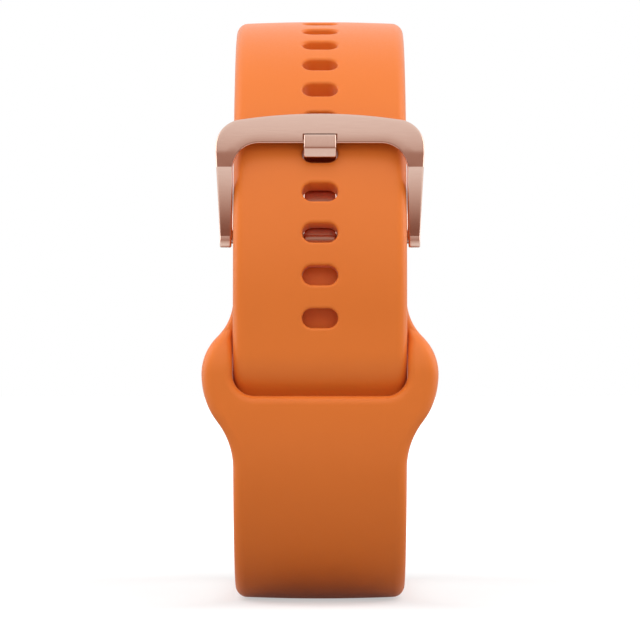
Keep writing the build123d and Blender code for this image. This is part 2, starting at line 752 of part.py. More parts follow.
with BuildPart() as main_board:
    inner_plate(board_back, board_front, 2 * stack_gap)
    with BuildSketch(head_plane(board_back)):
        with Locations((inner_x, button_height)):
            Rectangle(2 * board_notch[0], board_notch[1])
    extrude(amount=board_back - board_front, mode=Mode.SUBTRACT)
write(main_board.part, "main_board")

with BuildPart() as board_chips:
    with BuildSketch(head_plane(board_back)):
        with Locations(chip_place):
            with GridLocations(chip_pitch, chip_pitch, 2, 2):
                Rectangle(chip_size[0], chip_size[2])
    extrude(amount=chip_size[1])
write(board_chips.part, "board_chips")

for name, size, place in (("shield_can", shield_size, shield_place),
                          ("gnss_antenna", antenna_size, antenna_place),
                          ("battery", battery_size, battery_place)):
    with BuildPart() as component:
        block(size, place, board_back)
        fillet(component.edges().filter_by(Axis.Y), radius=component_corner)
    write(component.part, name)

# Coin motor: a can on the board, a shaft in its floor, a half-round weight that spins.
motor_axis_plane = head_plane(board_back)
with BuildPart() as motor_can:
    with BuildSketch(motor_axis_plane):
        with Locations(motor_place):
            Circle(motor_radius)
    extrude(amount=motor_height)
    with BuildSketch(head_plane(board_back - motor_wall)):
        with Locations(motor_place):
            Circle(motor_radius - motor_wall)
    extrude(amount=motor_height - 2 * motor_wall, mode=Mode.SUBTRACT)
    with BuildSketch(motor_axis_plane):
        with Locations(motor_place):
            Circle(motor_shaft_radius)
    extrude(amount=motor_height)
write(motor_can.part, "motor_can")

with BuildPart() as motor_weight:
    with BuildSketch(head_plane(board_back - motor_height / 2 + weight_height / 2)):
        with Locations(motor_place):
            Circle(weight_radius)
            Rectangle(2 * weight_radius, weight_radius, align=(Align.CENTER, Align.MIN), mode=Mode.SUBTRACT)
            Circle(weight_hub_radius)
            Circle(motor_shaft_radius + bar_fit, mode=Mode.SUBTRACT)
    extrude(amount=weight_height)
write(motor_weight.part, "motor_weight")

# Side button: cap and stem, held by a clip, sealed by a ring, over a switch.
stem_end = switch_face + button_travel + seat_gap
cap_inside = pocket_x + button_travel + seat_gap
with BuildPart() as button_cap:
    with BuildSketch(across(cap_inside, button_centre)):
        SlotOverall(button_length, button_breadth, rotation=90)
    extrude(amount=side_x + button_proud - cap_inside)
    fillet(button_cap.faces().sort_by(Axis.X)[-1].edges(), radius=button_round)
    rod(button_centre, stem_end, cap_inside, stem_radius)
    clip_start = boss_x - seat_gap - clip_thickness
    with BuildSketch(across(clip_start - seat_gap / 2, button_centre)):
        Circle(stem_radius + seat_gap)
        Circle(stem_radius - clip_groove, mode=Mode.SUBTRACT)
    extrude(amount=clip_thickness + seat_gap, mode=Mode.SUBTRACT)
write(button_cap.part, "button_cap")

with BuildPart() as button_clip:
    with BuildSketch(across(clip_start, button_centre)):
        Circle(clip_radius)
        Circle(stem_radius - clip_groove + seal_fit, mode=Mode.SUBTRACT)
        with Locations((-clip_radius, 0)):
            Rectangle(2 * clip_radius, stem_radius, mode=Mode.SUBTRACT)
    extrude(amount=clip_thickness)
write(button_clip.part, "button_clip")

with BuildPart() as button_seal:
    with BuildSketch(Plane(origin=(boss_x + seal_radius + seat_gap, button_centre.X, button_centre.Y),
                           x_dir=(1, 0, 0), z_dir=(0, -1, 0))):
        with Locations((0, stem_radius + seal_fit + seal_radius)):
            Circle(seal_radius)
    revolve(axis=Axis((0, button_centre.X, button_centre.Y), (1, 0, 0)))
write(button_seal.part, "button_seal")

with BuildPart() as button_switch:
    block(switch_size, (switch_face - switch_size[0] / 2, button_height), board_back)
write(button_switch.part, "button_switch")

# Case back with the heart-rate sensor, charging contacts, gasket and screws.
sensor_place = (0, sensor_height)
with BuildPart() as case_back:
    plate(back_y, back_top, back_inset)
    fillet(case_back.faces().sort_by(Axis.Y)[0].edges(), radius=back_round)
    with BuildSketch(head_plane(back_top)):
        with Locations(sensor_place):
            Circle(sensor_radius - sensor_ledge)
        with Locations((0, contact_height)):
            with GridLocations(contact_pitch, 1, contact_count, 1):
                Circle(contact_radius + seal_fit)
        with GridLocations(2 * screw_x, 2 * screw_z, 2, 2):
            Circle(screw_shank_radius + seat_gap)
    extrude(amount=back_thickness, mode=Mode.SUBTRACT)
    with BuildSketch(head_plane(back_y + sensor_seat)):
        with Locations(sensor_place):
            Circle(sensor_radius + seat_gap)
    extrude(amount=sensor_seat, mode=Mode.SUBTRACT)
    with BuildSketch(head_plane(back_y + screw_head_height + seat_gap)):
        with GridLocations(2 * screw_x, 2 * screw_z, 2, 2):
            Circle(screw_head_radius + seat_gap)
    extrude(amount=back_thickness, mode=Mode.SUBTRACT)
write(case_back.part, "case_back")

with BuildPart() as back_gasket:
    with BuildSketch(head_plane(back_top)):
        RectangleRounded(*outline((wall - gasket_section) / 2))
        RectangleRounded(*outline((wall + gasket_section) / 2), mode=Mode.SUBTRACT)
    extrude(amount=-gasket_section + seat_gap)
write(back_gasket.part, "back_gasket")

with BuildPart() as back_screws:
    with BuildSketch(head_plane(back_y + screw_head_height)):
        with GridLocations(2 * screw_x, 2 * screw_z, 2, 2):
            Circle(screw_head_radius)
    extrude(amount=screw_head_height)
    with BuildSketch(head_plane(back_y + screw_head_height)):
        with GridLocations(2 * screw_x, 2 * screw_z, 2, 2):
            Circle(screw_shank_radius - seal_fit)
    extrude(amount=-screw_length)
write(back_screws.part, "back_screws")

window_back = back_y + sensor_seat - seat_gap
with BuildPart() as sensor_window:
    with BuildSketch(Plane(origin=(0, 0, case_z + sensor_height), x_dir=(1, 0, 0), z_dir=(0, 0, 1))):
        with BuildLine():
            ThreePointArc((-sensor_radius, back_y), (0, back_y - sensor_dome), (sensor_radius, back_y))
            Polyline((sensor_radius, back_y), (sensor_radius, window_back), (-sensor_radius, window_back),
                     (-sensor_radius, back_y))
        make_face()
        split(bisect_by=Plane.YZ)
    revolve(axis=Axis((0, 0, case_z + sensor_height), (0, 1, 0)))
write(sensor_window.part, "sensor_window")

sensor_board_back = back_top + seat_gap
sensor_board_front = sensor_board_back + sensor_board_size[1]
with BuildPart() as sensor_board:
    block(sensor_board_size, sensor_place, sensor_board_front)
write(sensor_board.part, "sensor_board")

with BuildPart() as sensor_leds:
    with BuildSketch(head_plane(sensor_board_back)):
        with Locations(sensor_place):
            with GridLocations(1, led_pitch, 1, 3):
                Rectangle(led_size[0], led_size[2])
    extrude(amount=led_size[1])
write(sensor_leds.part, "sensor_leds")

with BuildPart() as sensor_diodes:
    with BuildSketch(head_plane(sensor_board_back)):
        with Locations(sensor_place):
            with GridLocations(diode_pitch, 1, 2, 1):
                Rectangle(led_size[0], 2 * led_size[2])
    extrude(amount=led_size[1])
write(sensor_diodes.part, "sensor_diodes")

with BuildPart() as charge_contacts:
    with BuildSketch(head_plane(back_y + contact_depth)):
        with Locations((0, contact_height)):
            with GridLocations(contact_pitch, 1, contact_count, 1):
                Circle(contact_radius)
    extrude(amount=contact_depth)
write(charge_contacts.part, "charge_contacts")
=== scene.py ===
"""Looks of the slim GPS running watch, closed on its silicone band.

X runs across the band, -Y is the buckle side, +Y the display side and +Z is up.
Sizes are in millimetres and become metres where a mesh is made.
"""

import json

import bmesh
import bpy
import numpy as np
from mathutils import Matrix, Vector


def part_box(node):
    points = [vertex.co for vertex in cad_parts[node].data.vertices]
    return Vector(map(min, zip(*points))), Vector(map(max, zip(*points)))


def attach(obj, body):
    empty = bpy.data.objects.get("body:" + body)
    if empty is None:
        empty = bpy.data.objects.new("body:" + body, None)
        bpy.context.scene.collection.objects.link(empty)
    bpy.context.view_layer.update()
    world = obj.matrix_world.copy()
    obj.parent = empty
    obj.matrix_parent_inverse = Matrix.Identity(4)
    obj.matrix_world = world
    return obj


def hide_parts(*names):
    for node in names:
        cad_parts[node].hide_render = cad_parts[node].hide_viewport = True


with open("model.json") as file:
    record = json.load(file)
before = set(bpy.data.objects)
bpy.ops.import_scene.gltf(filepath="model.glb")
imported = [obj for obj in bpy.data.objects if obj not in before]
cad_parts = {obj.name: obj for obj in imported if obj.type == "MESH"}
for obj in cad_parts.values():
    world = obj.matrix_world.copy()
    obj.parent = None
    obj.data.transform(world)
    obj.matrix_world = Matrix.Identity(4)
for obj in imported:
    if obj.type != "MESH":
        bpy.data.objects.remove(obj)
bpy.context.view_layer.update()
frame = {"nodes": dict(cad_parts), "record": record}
mm = 0.001

# ---------------------------------------------------------------- sizes of the frame, as the solids have them
loop_radius, centre_height, corner_radius = 34.9, 34.3, 23.0
heel_turn = 68.0
band_width, band_thickness, layer_gap = 20.0, 2.4, 0.08
tongue_width, tongue_radius, shoulder_reach = 16.0, 1.6, 2.4
hole_count, hole_pitch, hole_length, hole_height, first_hole_angle = 11, 5.0, 4.1, 2.33, -1.7
lip_drop, lip_corner, slot_clearance = 9.9, 2.5, 0.2
dive_start, dive_length, tail_sweep, tail_corner = 5.1, 6.0, 32.0, 7.0
flare_half_width, flare_top, flare_peak, flare_foot = 13.6, 1.2, 7.4, 18.6
pin_height, frame_gap, foot_half, arm_half = 8.0, 0.2, 11.45, 12.03
bar_low_angle, bar_high_angle, bar_lift, bar_thickness = 31.5, 38.2, 0.25, 1.5
bar_arch_radius, corner_outside, corner_inside = 60.0, 3.2, 3.0
arm_corner_drop = 4.46
foot_radius = 0.87
tang_width, tang_thickness, tang_drop, tang_eye_radius = 3.7, 0.9, 0.22, 1.1
tang_rise_angle, tang_pad_angle, tang_bend, rest_floor, pad_lift = 30.25, 33.3, 0.5, 0.75, 0.05
bar_radius, bar_fit, fork_clearance = 0.75, 0.05, 0.4
notch_clearance, rest_margin = 0.15, 0.3
case_length, case_drop, back_y, pin_back, pin_reach = 39.0, 3.5, 29.4, 2.0, 2.2

# ---------------------------------------------------------------- roundings that only the surfaces have
crown = 0.25
edge_outside, edge_inside = 1.3, 0.8
shoulder_corner = 0.6
hole_lip, hole_back_lip = 0.32, 0.15
flare_edge = 1.5
frame_edge, foot_edge = 0.24, 0.2
tang_edge, tang_heel = 0.15, 0.2
chin_drop, chin_depth, chin_corner = 0.7, 1.0, 0.28
neck_drop, face_lean = 0.3, 0.05   # chin's underside, and how far its face leans
small_bend, chin_bend = 0.06, 0.15
crease_z = 50.7                # where the arms' faces start
face_bend_angle, face_low_tilt = 30.0, 3.0
foot_face_y, foot_face_z = -30.66, 42.9
foot_reach = 0.1               # of the foot beyond the frame's outline
wall_gap = 0.04                # free end to the loop's walls, as drawn
skin_gap = 0.02                # inner layer inside the loop's walls
cheek_top = 0.9                # below the flare's top, where the walls run out
stroke_step = 0.002            # between strokes of a digit, so that none lie in one plane

half_band = band_width / 2
half_thick = band_thickness / 2
outer_path = loop_radius - half_thick
layer_step = band_thickness + layer_gap
inner_path = outer_path - layer_step
pin_angle = np.degrees(np.arcsin(pin_height / inner_path))
lip_z = centre_height - lip_drop
window_half = half_band + wall_gap
case_z = centre_height - case_drop
pin_y = back_y + pin_back
upper_pin_z = case_z + case_length / 2 + pin_reach
lower_pin_z = case_z - case_length / 2 - pin_reach
crown_drop = centre_height + outer_path - upper_pin_z
nape_radius = (pin_y**2 + crown_drop**2) / (2 * crown_drop)
nape_turn = np.degrees(np.arcsin(pin_y / nape_radius))
heel_radius = (lower_pin_z - half_thick) / (1 - np.cos(np.radians(heel_turn)))
heel_start_y = pin_y - heel_radius * np.sin(np.radians(heel_turn))
bend_y = corner_radius - loop_radius
bar_inside = loop_radius + bar_lift
bar_outside = bar_inside + bar_thickness
bar_top = centre_height + bar_outside * np.sin(np.radians(bar_high_angle))
bar_bottom = centre_height + bar_outside * np.sin(np.radians(bar_low_angle))
frame_half = half_band + frame_gap
arm_inside = half_band + wall_gap
rest_radius = bar_inside + rest_floor
notch_top_z = centre_height + bar_outside * np.sin(np.radians(tang_pad_angle + rest_margin))
blade_out = loop_radius - band_thickness - tang_drop
blade_in = blade_out - tang_thickness
pad_in = rest_radius + pad_lift
pad_out = pad_in + tang_thickness
pin_place = np.array([-inner_path * np.cos(np.radians(pin_angle)), centre_height + pin_height])


# ---------------------------------------------------------------- studio, in metres and watts
floor_pale, floor_glow, sky_level, room_level = 0.50, 0.49, 0.56, 0.46
glow_start, glow_full = 0.03, 0.15             # way from the object over which the floor's glow rises to white
mirror_near, mirror_share, mirror_least = 0.08, 0.075, 0.12
# painted shadow: close round the object the floor's glow as mirrors see it is dimmed, standing in for the object's
# shadow on the floor
mirrored_shadow_start, mirrored_shadow_end, mirrored_shadow_level = 0.045, 0.08, 0.25
camera_lens, camera_place = 275.6, (0, -0.5949, 0.0331)
lamps = (
    ("lamp above", (0.0, -0.42, 1.00), (0, 0, 0.04), (1.3, 0.8), 5.0, False),
    ("lamp front", (0.0, -1.05, 0.60), (0, 0, 0.04), (1.4, 0.4), 2.4, False),
    ("rim left", (-0.60, 0.10, 0.20), (0, 0, 0.03), (0.4, 0.9), 2.2, True),
    ("rim right", (0.60, 0.10, 0.20), (0, 0, 0.03), (0.4, 0.9), 2.2, True),
)


# ================================================================ lines and meshes
def track(start, heading, runs):
    """A line of straights and arcs in the side view, as a function of the way s along it.

    Each run is a length and the degrees it turns left. The place at s is the start of its run plus a chord,
    t sinc(turn / 2) long, along the mean heading. Out is right of the heading.
    """
    lengths = np.array([length for length, turn in runs], float)
    turns = np.radians([turn for length, turn in runs])
    begins = np.concatenate([[0], np.cumsum(lengths)])
    headings = np.radians(heading) + np.concatenate([[0], np.cumsum(turns)])

    def chord(run, way):
        bend = turns[run] / lengths[run] * way
        reach = way * np.sinc(bend / 2 / np.pi)
        return reach * np.cos(headings[run] + bend / 2), reach * np.sin(headings[run] + bend / 2)

    steps = chord(np.arange(len(runs)), lengths)
    starts = [first + np.concatenate([[0], np.cumsum(step)]) for first, step in zip(start, steps)]

    def place(s):
        run = np.clip(np.searchsorted(begins, s, side="right") - 1, 0, len(runs) - 1)
        way = s - begins[run]
        step_y, step_z = chord(run, way)
        course = headings[run] + turns[run] / lengths[run] * way
        return starts[0][run] + step_y, starts[1][run] + step_z, np.sin(course), -np.cos(course)

    return place, begins


def lay(place, x, s, out):
    """Points of a flat strip, across x, along s and out of its middle, laid on a line."""
    x, s, out = np.broadcast_arrays(x, s, out)
    y, z, out_y, out_z = place(s)
    return np.stack([x, y + out * out_y, z + out * out_z], -1)


def two_arcs(way, length, width):
    """Rise from 0 to width over a length, in two equal arcs that are level at both ends."""
    way = np.clip(way, 0, length)
    radius = (length**2 + width**2) / (4 * width)
    rise = radius - np.sqrt(radius**2 - np.minimum(way, length - way)**2)
    return np.where(way < length / 2, rise, width - rise)


def quarter_round(distance, radius):
    """How far a rounded edge falls at a distance from it: radius less the height of its circle."""
    short = np.clip(radius - distance, 0, radius)
    return radius - np.sqrt(np.maximum(radius**2 - short**2, 0))


def spaced(start, end, step):
    """Even steps between two values."""
    return np.linspace(start, end, max(2, int(np.ceil(abs(end - start) / step)) + 1))


def arc_steps(count):
    """Shares 1 - cos of equal angles, from 0 to 1: points for a quarter round, closest at its edge."""
    return 1 - np.cos(np.linspace(0, np.pi / 2, count + 1))


def make_piece(name, grids, body, stands_for, finish, sharp_above=38.0):
    """One closed smooth mesh from grids of points in millimetres. Points that meet are merged."""
    points, faces, first = [], [], 0
    for grid in grids:
        rows, columns = grid.shape[:2]
        index = first + np.arange(rows * columns).reshape(rows, columns)
        quads = np.stack([index[:-1, :-1], index[:-1, 1:], index[1:, 1:], index[1:, :-1]], -1)
        faces.append(quads.reshape(-1, 4))
        points.append(grid.reshape(-1, 3) * mm)
        first += rows * columns
    mesh = bpy.data.meshes.new(name)
    mesh.from_pydata(np.concatenate(points).tolist(), [], np.concatenate(faces).tolist())
    work = bmesh.new()
    work.from_mesh(mesh)
    bmesh.ops.remove_doubles(work, verts=work.verts, dist=0.004 * mm)
    bmesh.ops.recalc_face_normals(work, faces=work.faces)
    work.to_mesh(mesh)
    work.free()
    mesh.shade_smooth()
    mesh.set_sharp_from_angle(angle=np.radians(sharp_above))
    mesh.materials.append(finish)
    thing = bpy.data.objects.new(name, mesh)
    bpy.context.scene.collection.objects.link(thing)
    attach(thing, body)
    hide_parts(*stands_for)
    return thing


# ================================================================ finishes
def new_finish(name):
    """A material with its Principled shader and the Object coordinates, ready for its own nodes."""
    finish = bpy.data.materials.new(name)
    finish.use_nodes = True
    tree = finish.node_tree
    shader = tree.nodes["Principled BSDF"]
    place = tree.nodes.new("ShaderNodeTexCoord").outputs["Object"]
    return finish, tree, shader, place


def grain(tree, place, size, stretch=(1, 1, 1), detail=3.0):
    """Noise whose features are about size millimetres, longer where stretch is above 1."""
    mapping = tree.nodes.new("ShaderNodeMapping")
    mapping.inputs["Scale"].default_value = [1 / (size * mm * share) for share in stretch]
    tree.links.new(place, mapping.inputs["Vector"])
    noise = tree.nodes.new("ShaderNodeTexNoise")
    noise.inputs["Scale"].default_value = 1.0
    noise.inputs["Detail"].default_value = detail
    tree.links.new(mapping.outputs["Vector"], noise.inputs["Vector"])
    return noise.outputs["Fac"]


def between(tree, share, low, high):
    """Turns noise into a value that swings from low to high."""
    spread = tree.nodes.new("ShaderNodeMapRange")
    spread.inputs["From Min"].default_value = 0.3
    spread.inputs["From Max"].default_value = 0.7
    spread.inputs["To Min"].default_value = low
    spread.inputs["To Max"].default_value = high
    tree.links.new(share, spread.inputs["Value"])
    return spread.outputs["Result"]


def mixed(tree, share, first, second):
    """Colour that wanders between two tones with noise."""
    mix = tree.nodes.new("ShaderNodeMix")
    mix.data_type = "RGBA"
    mix.inputs["A"].default_value = (*first, 1)
    mix.inputs["B"].default_value = (*second, 1)
    tree.links.new(share, mix.inputs["Factor"])
    return mix.outputs["Result"]


def raised(tree, shader, height, depth):
    """Fine relief, depth millimetres high."""
    bump = tree.nodes.new("ShaderNodeBump")
    bump.inputs["Distance"].default_value = depth * mm
    tree.links.new(height, bump.inputs["Height"])
    tree.links.new(bump.outputs["Normal"], shader.inputs["Normal"])


def moulded(name, first, second, rough=(0.42, 0.52), size=0.35, depth=0.012, gloss=0.5, sheen=0.0):
    """Moulded rubber or plastic: two near tones, satin, with a fine skin."""
    finish, tree, shader, place = new_finish(name)
    tree.links.new(mixed(tree, grain(tree, place, 9.0), first, second), shader.inputs["Base Color"])
    fine = grain(tree, place, size)
    tree.links.new(between(tree, fine, *rough), shader.inputs["Roughness"])
    raised(tree, shader, fine, depth)
    shader.inputs["Specular IOR Level"].default_value = gloss
    shader.inputs["Sheen Weight"].default_value = sheen
    shader.inputs["Sheen Roughness"].default_value = 0.3
    return finish


def metal(name, first, second, rough=(0.24, 0.34), stretch=(30, 1, 1), size=0.06, depth=0.002):
    """Brushed or blasted metal: fine lines along the longest stretch, or an even frost."""
    finish, tree, shader, place = new_finish(name)
    lines = grain(tree, place, size, stretch, detail=2.0)
    tree.links.new(mixed(tree, lines, first, second), shader.inputs["Base Color"])
    tree.links.new(between(tree, lines, *rough), shader.inputs["Roughness"])
    raised(tree, shader, lines, depth)
    shader.inputs["Metallic"].default_value = 1.0
    return finish


def dark_glass(name, tint, rough=(0.03, 0.06)):
    """Hardened glass over black: deep gloss with the faintest smear."""
    finish, tree, shader, place = new_finish(name)
    smear = grain(tree, place, 6.0, (1, 1, 3))
    lighter = tuple(share * 1.3 for share in tint)
    tree.links.new(mixed(tree, smear, tint, lighter), shader.inputs["Base Color"])
    tree.links.new(between(tree, smear, *rough), shader.inputs["Roughness"])
    shader.inputs["Specular IOR Level"].default_value = 0.2
    shader.inputs["Coat Weight"].default_value = 0.5
    shader.inputs["Coat Roughness"].default_value = 0.03
    return finish


orange_silicone = moulded("orange silicone", (0.80, 0.184, 0.022), (0.83, 0.198, 0.026),
                          rough=(0.38, 0.46), size=0.3, depth=0.004, gloss=0.32, sheen=0.22)
rose_gold = metal("brushed rose gold", (0.78, 0.55, 0.46), (0.74, 0.51, 0.42), rough=(0.20, 0.26), depth=0.0004)
rose_tang = metal("rose gold tang", (0.78, 0.55, 0.46), (0.74, 0.51, 0.42), rough=(0.20, 0.26),
                  stretch=(1, 12, 12), depth=0.0004)
rose_case = metal("rose gold blasted", (0.70, 0.46, 0.38), (0.66, 0.42, 0.34), rough=(0.34, 0.42),
                  stretch=(1, 1, 1), size=0.12)
steel = metal("steel", (0.58, 0.58, 0.60), (0.50, 0.50, 0.52))
tinned = metal("tinned sheet", (0.66, 0.66, 0.66), (0.56, 0.56, 0.57), rough=(0.3, 0.4), stretch=(1, 1, 1))
foil = metal("battery foil", (0.50, 0.52, 0.55), (0.42, 0.44, 0.47), rough=(0.35, 0.5), stretch=(1, 1, 1),
             size=1.2)
gold = metal("gold plating", (0.86, 0.62, 0.28), (0.80, 0.55, 0.24), stretch=(1, 1, 1))
black_glass = dark_glass("black cover glass", (0.004, 0.004, 0.005))
dark_lens = dark_glass("sensor window", (0.006, 0.006, 0.008))
panel_black = dark_glass("display panel", (0.002, 0.002, 0.003), rough=(0.1, 0.2))
pale_shell = moulded("pale shell", (0.76, 0.76, 0.74), (0.80, 0.80, 0.78), rough=(0.3, 0.4), size=0.5, depth=0.004)
black_polymer = moulded("black polymer", (0.018, 0.018, 0.020), (0.028, 0.028, 0.030))
black_rubber = moulded("black rubber", (0.012, 0.012, 0.012), (0.02, 0.02, 0.02), rough=(0.6, 0.75))
board_green = moulded("board green", (0.01, 0.09, 0.035), (0.015, 0.12, 0.05), rough=(0.3, 0.4), size=0.8)
chip_black = moulded("chip black", (0.02, 0.02, 0.022), (0.03, 0.03, 0.03), rough=(0.5, 0.6))
ceramic = moulded("pale ceramic", (0.52, 0.44, 0.33), (0.58, 0.50, 0.38), rough=(0.55, 0.7), size=0.2)
led_green = moulded("green diode", (0.25, 0.55, 0.18), (0.3, 0.6, 0.22), rough=(0.15, 0.25), size=0.4)

slot_finish = {
    "silicone": orange_silicone, "rose_gold": rose_gold, "case_metal": rose_case, "steel": steel,
    "glass": black_glass, "display": panel_black, "pale_polymer": pale_shell,
    "black_polymer": black_polymer, "lens": dark_lens, "board": board_green, "chip": chip_black,
    "shield": tinned, "ceramic": ceramic, "battery_foil": foil, "black_rubber": black_rubber,
    "adhesive": black_rubber, "gold_contact": gold, "led": led_green,
}
for part in frame["record"]["subparts"]:
    skin = frame["nodes"][part["node"]].data
    skin.materials.clear()
    skin.materials.append(slot_finish[part["material_slot"]])


# ================================================================ band
def lug_half_width(way):
    """Half width at a way from the lug pin: the tongue, then a shoulder with a rounded corner."""
    shoulder = half_band - quarter_round(way - shoulder_reach, shoulder_corner)
    return np.where(way < shoulder_reach, tongue_width / 2, shoulder)


def lug_half_thick(way):
    """Half thickness at a way from the lug pin: the round of the pin's eye, then the strap."""
    eye = np.sqrt(np.maximum(tongue_radius**2 - way**2, 0))
    return np.where(way < 0, eye, np.maximum(eye, half_thick))


def lug_rows(longest):
    """Ways from the lug pin for a strap's rows: the eye's end, the eye, the shoulder and on."""
    eye_end = -tongue_radius * np.cos(np.linspace(0, np.pi / 2, 8))
    eye = spaced(0.1, shoulder_reach - 0.02, 0.25)
    shoulder = shoulder_reach + shoulder_corner * arc_steps(5)
    return np.concatenate([eye_end, eye, shoulder, spaced(shoulder[-1] + 0.3, longest, 0.6)])


def stadium(share):
    """Point and outward direction on a slot's edge, at a share of its length from the middle of its top."""
    end = hole_height / 2
    straight = hole_length / 2 - end
    quarter = straight + end * np.pi / 2
    way = np.mod(share, 1) * 4 * quarter
    part = np.mod(way, quarter)
    sector = np.round((way - part) / quarter).astype(int) % 4
    part = np.where(sector % 2 == 0, part, quarter - part)
    angle = np.clip((part - straight) / end, 0, np.pi / 2)
    x, y = np.minimum(part, straight) + end * np.sin(angle), end * np.cos(angle)
    right, up = np.where(sector < 2, 1, -1), np.where((sector == 0) | (sector == 3), 1, -1)
    return np.stack([x * right, y * up], -1), np.stack([np.sin(angle) * right, np.cos(angle) * up], -1)


def build_long_half():
    """The half with the slots. A flat strip, laid on nape, crown, front, dive and tail.

    Across it the skin is a parabola for the crown, quarter rounds at its edges; each slot sits in a cell of rings
    that run from the slot's edge, over its lip, out to the cell's rectangle.
    """
    turn = np.degrees(2 * np.arctan(layer_step / dive_length))
    dive_arc = dive_length / (2 * np.sin(np.radians(turn))) * np.radians(turn)
    dive_foot_z = centre_height - dive_start - dive_length
    tail_bend = inner_path + bend_y
    place, begins = track(
        (pin_y, upper_pin_z), 180 - nape_turn,
        [(nape_radius * np.radians(nape_turn), nape_turn), (outer_path * np.pi / 2, 90), (dive_start, 0),
         (dive_arc, turn), (dive_arc, -turn), (dive_foot_z - corner_radius, 0),
         (tail_bend * np.radians(tail_sweep), tail_sweep)])
    end = begins[-1]
    cell_half = 3.4
    pitch = outer_path * hole_pitch / loop_radius
    across_steps, along_steps = 14, 10
    angles = first_hole_angle + np.degrees(hole_pitch / loop_radius) * np.arange(hole_count)[::-1]
    centres = begins[1] + outer_path * np.radians(90 - angles)
    cells_start, cells_end = centres[0] - pitch / 2, centres[-1] + pitch / 2

    def half_width(s):
        return lug_half_width(s) - quarter_round(end - s, tail_corner)

    def fade(s):
        return np.sqrt(1 - np.clip(1 - (end - s) / half_thick, 0, 1)**2)

    def skin(x, s, side, inset=0.0):
        """Height of the outer (side 1) or inner skin, with the fall of the edges and the end."""
        from_edge = half_width(s) - np.abs(x)
        outer = 1 - crown / half_thick * (x / half_band)**2
        radius = np.where(side > 0, edge_outside, edge_inside)
        level = lug_half_thick(s) * np.where(side > 0, outer, -1)
        return (level - side * (quarter_round(from_edge, radius) + inset)) * fade(s)

    cell_rows = (centres[:, None] - pitch / 2 + pitch * np.arange(along_steps) / along_steps).ravel()
    before = lug_rows(cells_start - 0.5)
    after = cells_end + spaced(0.5, end - cells_end - tail_corner - 0.3, 0.5)
    tail = end - tail_corner * arc_steps(20)[::-1]
    rows = np.concatenate([before, cell_rows, [cells_end], after, tail])
    s = rows[:, None]
    width = half_width(s)
    start = np.minimum(cell_half, cell_half * width / half_band)
    start = np.where(s < cells_end, cell_half, start)
    flat = start + (width - edge_outside - start) * np.linspace(0, 1, 9)
    top = np.concatenate([flat, width - edge_outside * arc_steps(8)[::-1][1:]], 1)
    flat = start + (width - edge_inside - start) * np.linspace(0, 1, 9)
    under = np.concatenate([flat, width - edge_inside * arc_steps(6)[::-1][1:]], 1)[:, ::-1]
    x = np.concatenate([top, under], 1)
    side = np.concatenate([np.ones(top.shape[1]), -np.ones(under.shape[1])])
    grids = []
    for hand in (-1, 1):
        grids.append(lay(place, hand * x, s, skin(x, s, side)))
    for stretch in (rows <= cells_start + 1e-6, rows >= cells_end - 1e-6):
        s = rows[stretch][:, None]
        reach = np.where(s < cells_end, cell_half, cell_half * half_width(s) / half_band)
        x = reach * np.linspace(-1, 1, across_steps + 1)
        for side in (1, -1):
            grids.append(lay(place, x, s, skin(x, s, side)))
    # Cells: corners of the rectangle at shares of its outline that the slot's outline shares.
    edge = np.linspace(-1, 1, across_steps + 1)[:-1]
    rise = np.linspace(-1, 1, along_steps + 1)[:-1]
    loop_x = np.concatenate([edge, np.ones(along_steps), -edge, -np.ones(along_steps)])
    loop_s = np.concatenate([np.ones(across_steps), -rise, -np.ones(across_steps), rise])
    outline = np.stack([loop_x * cell_half, loop_s * pitch / 2], -1)
    outline = np.concatenate([outline, outline[:1]])
    lengths = np.linalg.norm(np.diff(outline, axis=0), axis=1)
    shares = np.concatenate([[0], np.cumsum(lengths)]) / lengths.sum()
    slot, away = stadium(shares - cell_half / lengths.sum())
    stretch_out = loop_radius / outer_path
    steps = np.linspace(0, 1, 6)[1:, None, None]
    for centre in centres:
        parts = []
        for side, lip in ((1, hole_lip), (-1, hole_back_lip)):
            lips = slot + away * lip * arc_steps(5)[:, None, None]
            fall = lip - np.sqrt(lip**2 - (lip * (1 - arc_steps(5)))**2)
            outs = lips[-1] + (outline - lips[-1]) * steps
            flats = np.concatenate([lips, outs])
            falls = np.concatenate([fall, np.zeros(len(outs))])[:, None]
            rings = lay(place, flats[..., 0], centre + flats[..., 1] / (stretch_out if side > 0 else 1),
                        skin(flats[..., 0], centre + flats[..., 1], side, falls))
            edge_x, edge_s = outline[:, 0], centre + outline[:, 1]
            rings[-1] = lay(place, edge_x, edge_s, skin(edge_x, edge_s, side))
            parts.append(rings if side < 0 else rings[::-1])
        grids.append(np.concatenate(parts))
    make_piece("band_with_slots", grids, "watch", ["band_long"], orange_silicone)


def window_gap(x, z):
    """Distance outside the window's outline: a slot open at the top, with rounded lower corners."""
    beside = np.abs(x) - (window_half - lip_corner)
    below = lip_z + lip_corner - z
    corner = np.hypot(np.maximum(beside, 0), np.maximum(below, 0)) - lip_corner
    return np.where(beside < 0, below - lip_corner, np.where(below < 0, beside - lip_corner, corner))


def flare_width(z):
    """Half width of the short half at a height: the strap, swelling in two arcs to the flare and back."""
    top, peak, foot = centre_height + flare_top, centre_height - flare_peak, centre_height - flare_foot
    swell = flare_half_width - half_band
    upper = two_arcs(top - z, top - peak, swell)
    lower = two_arcs(z - foot, peak - foot, swell)
    return half_band + np.where(z > peak, upper, lower)


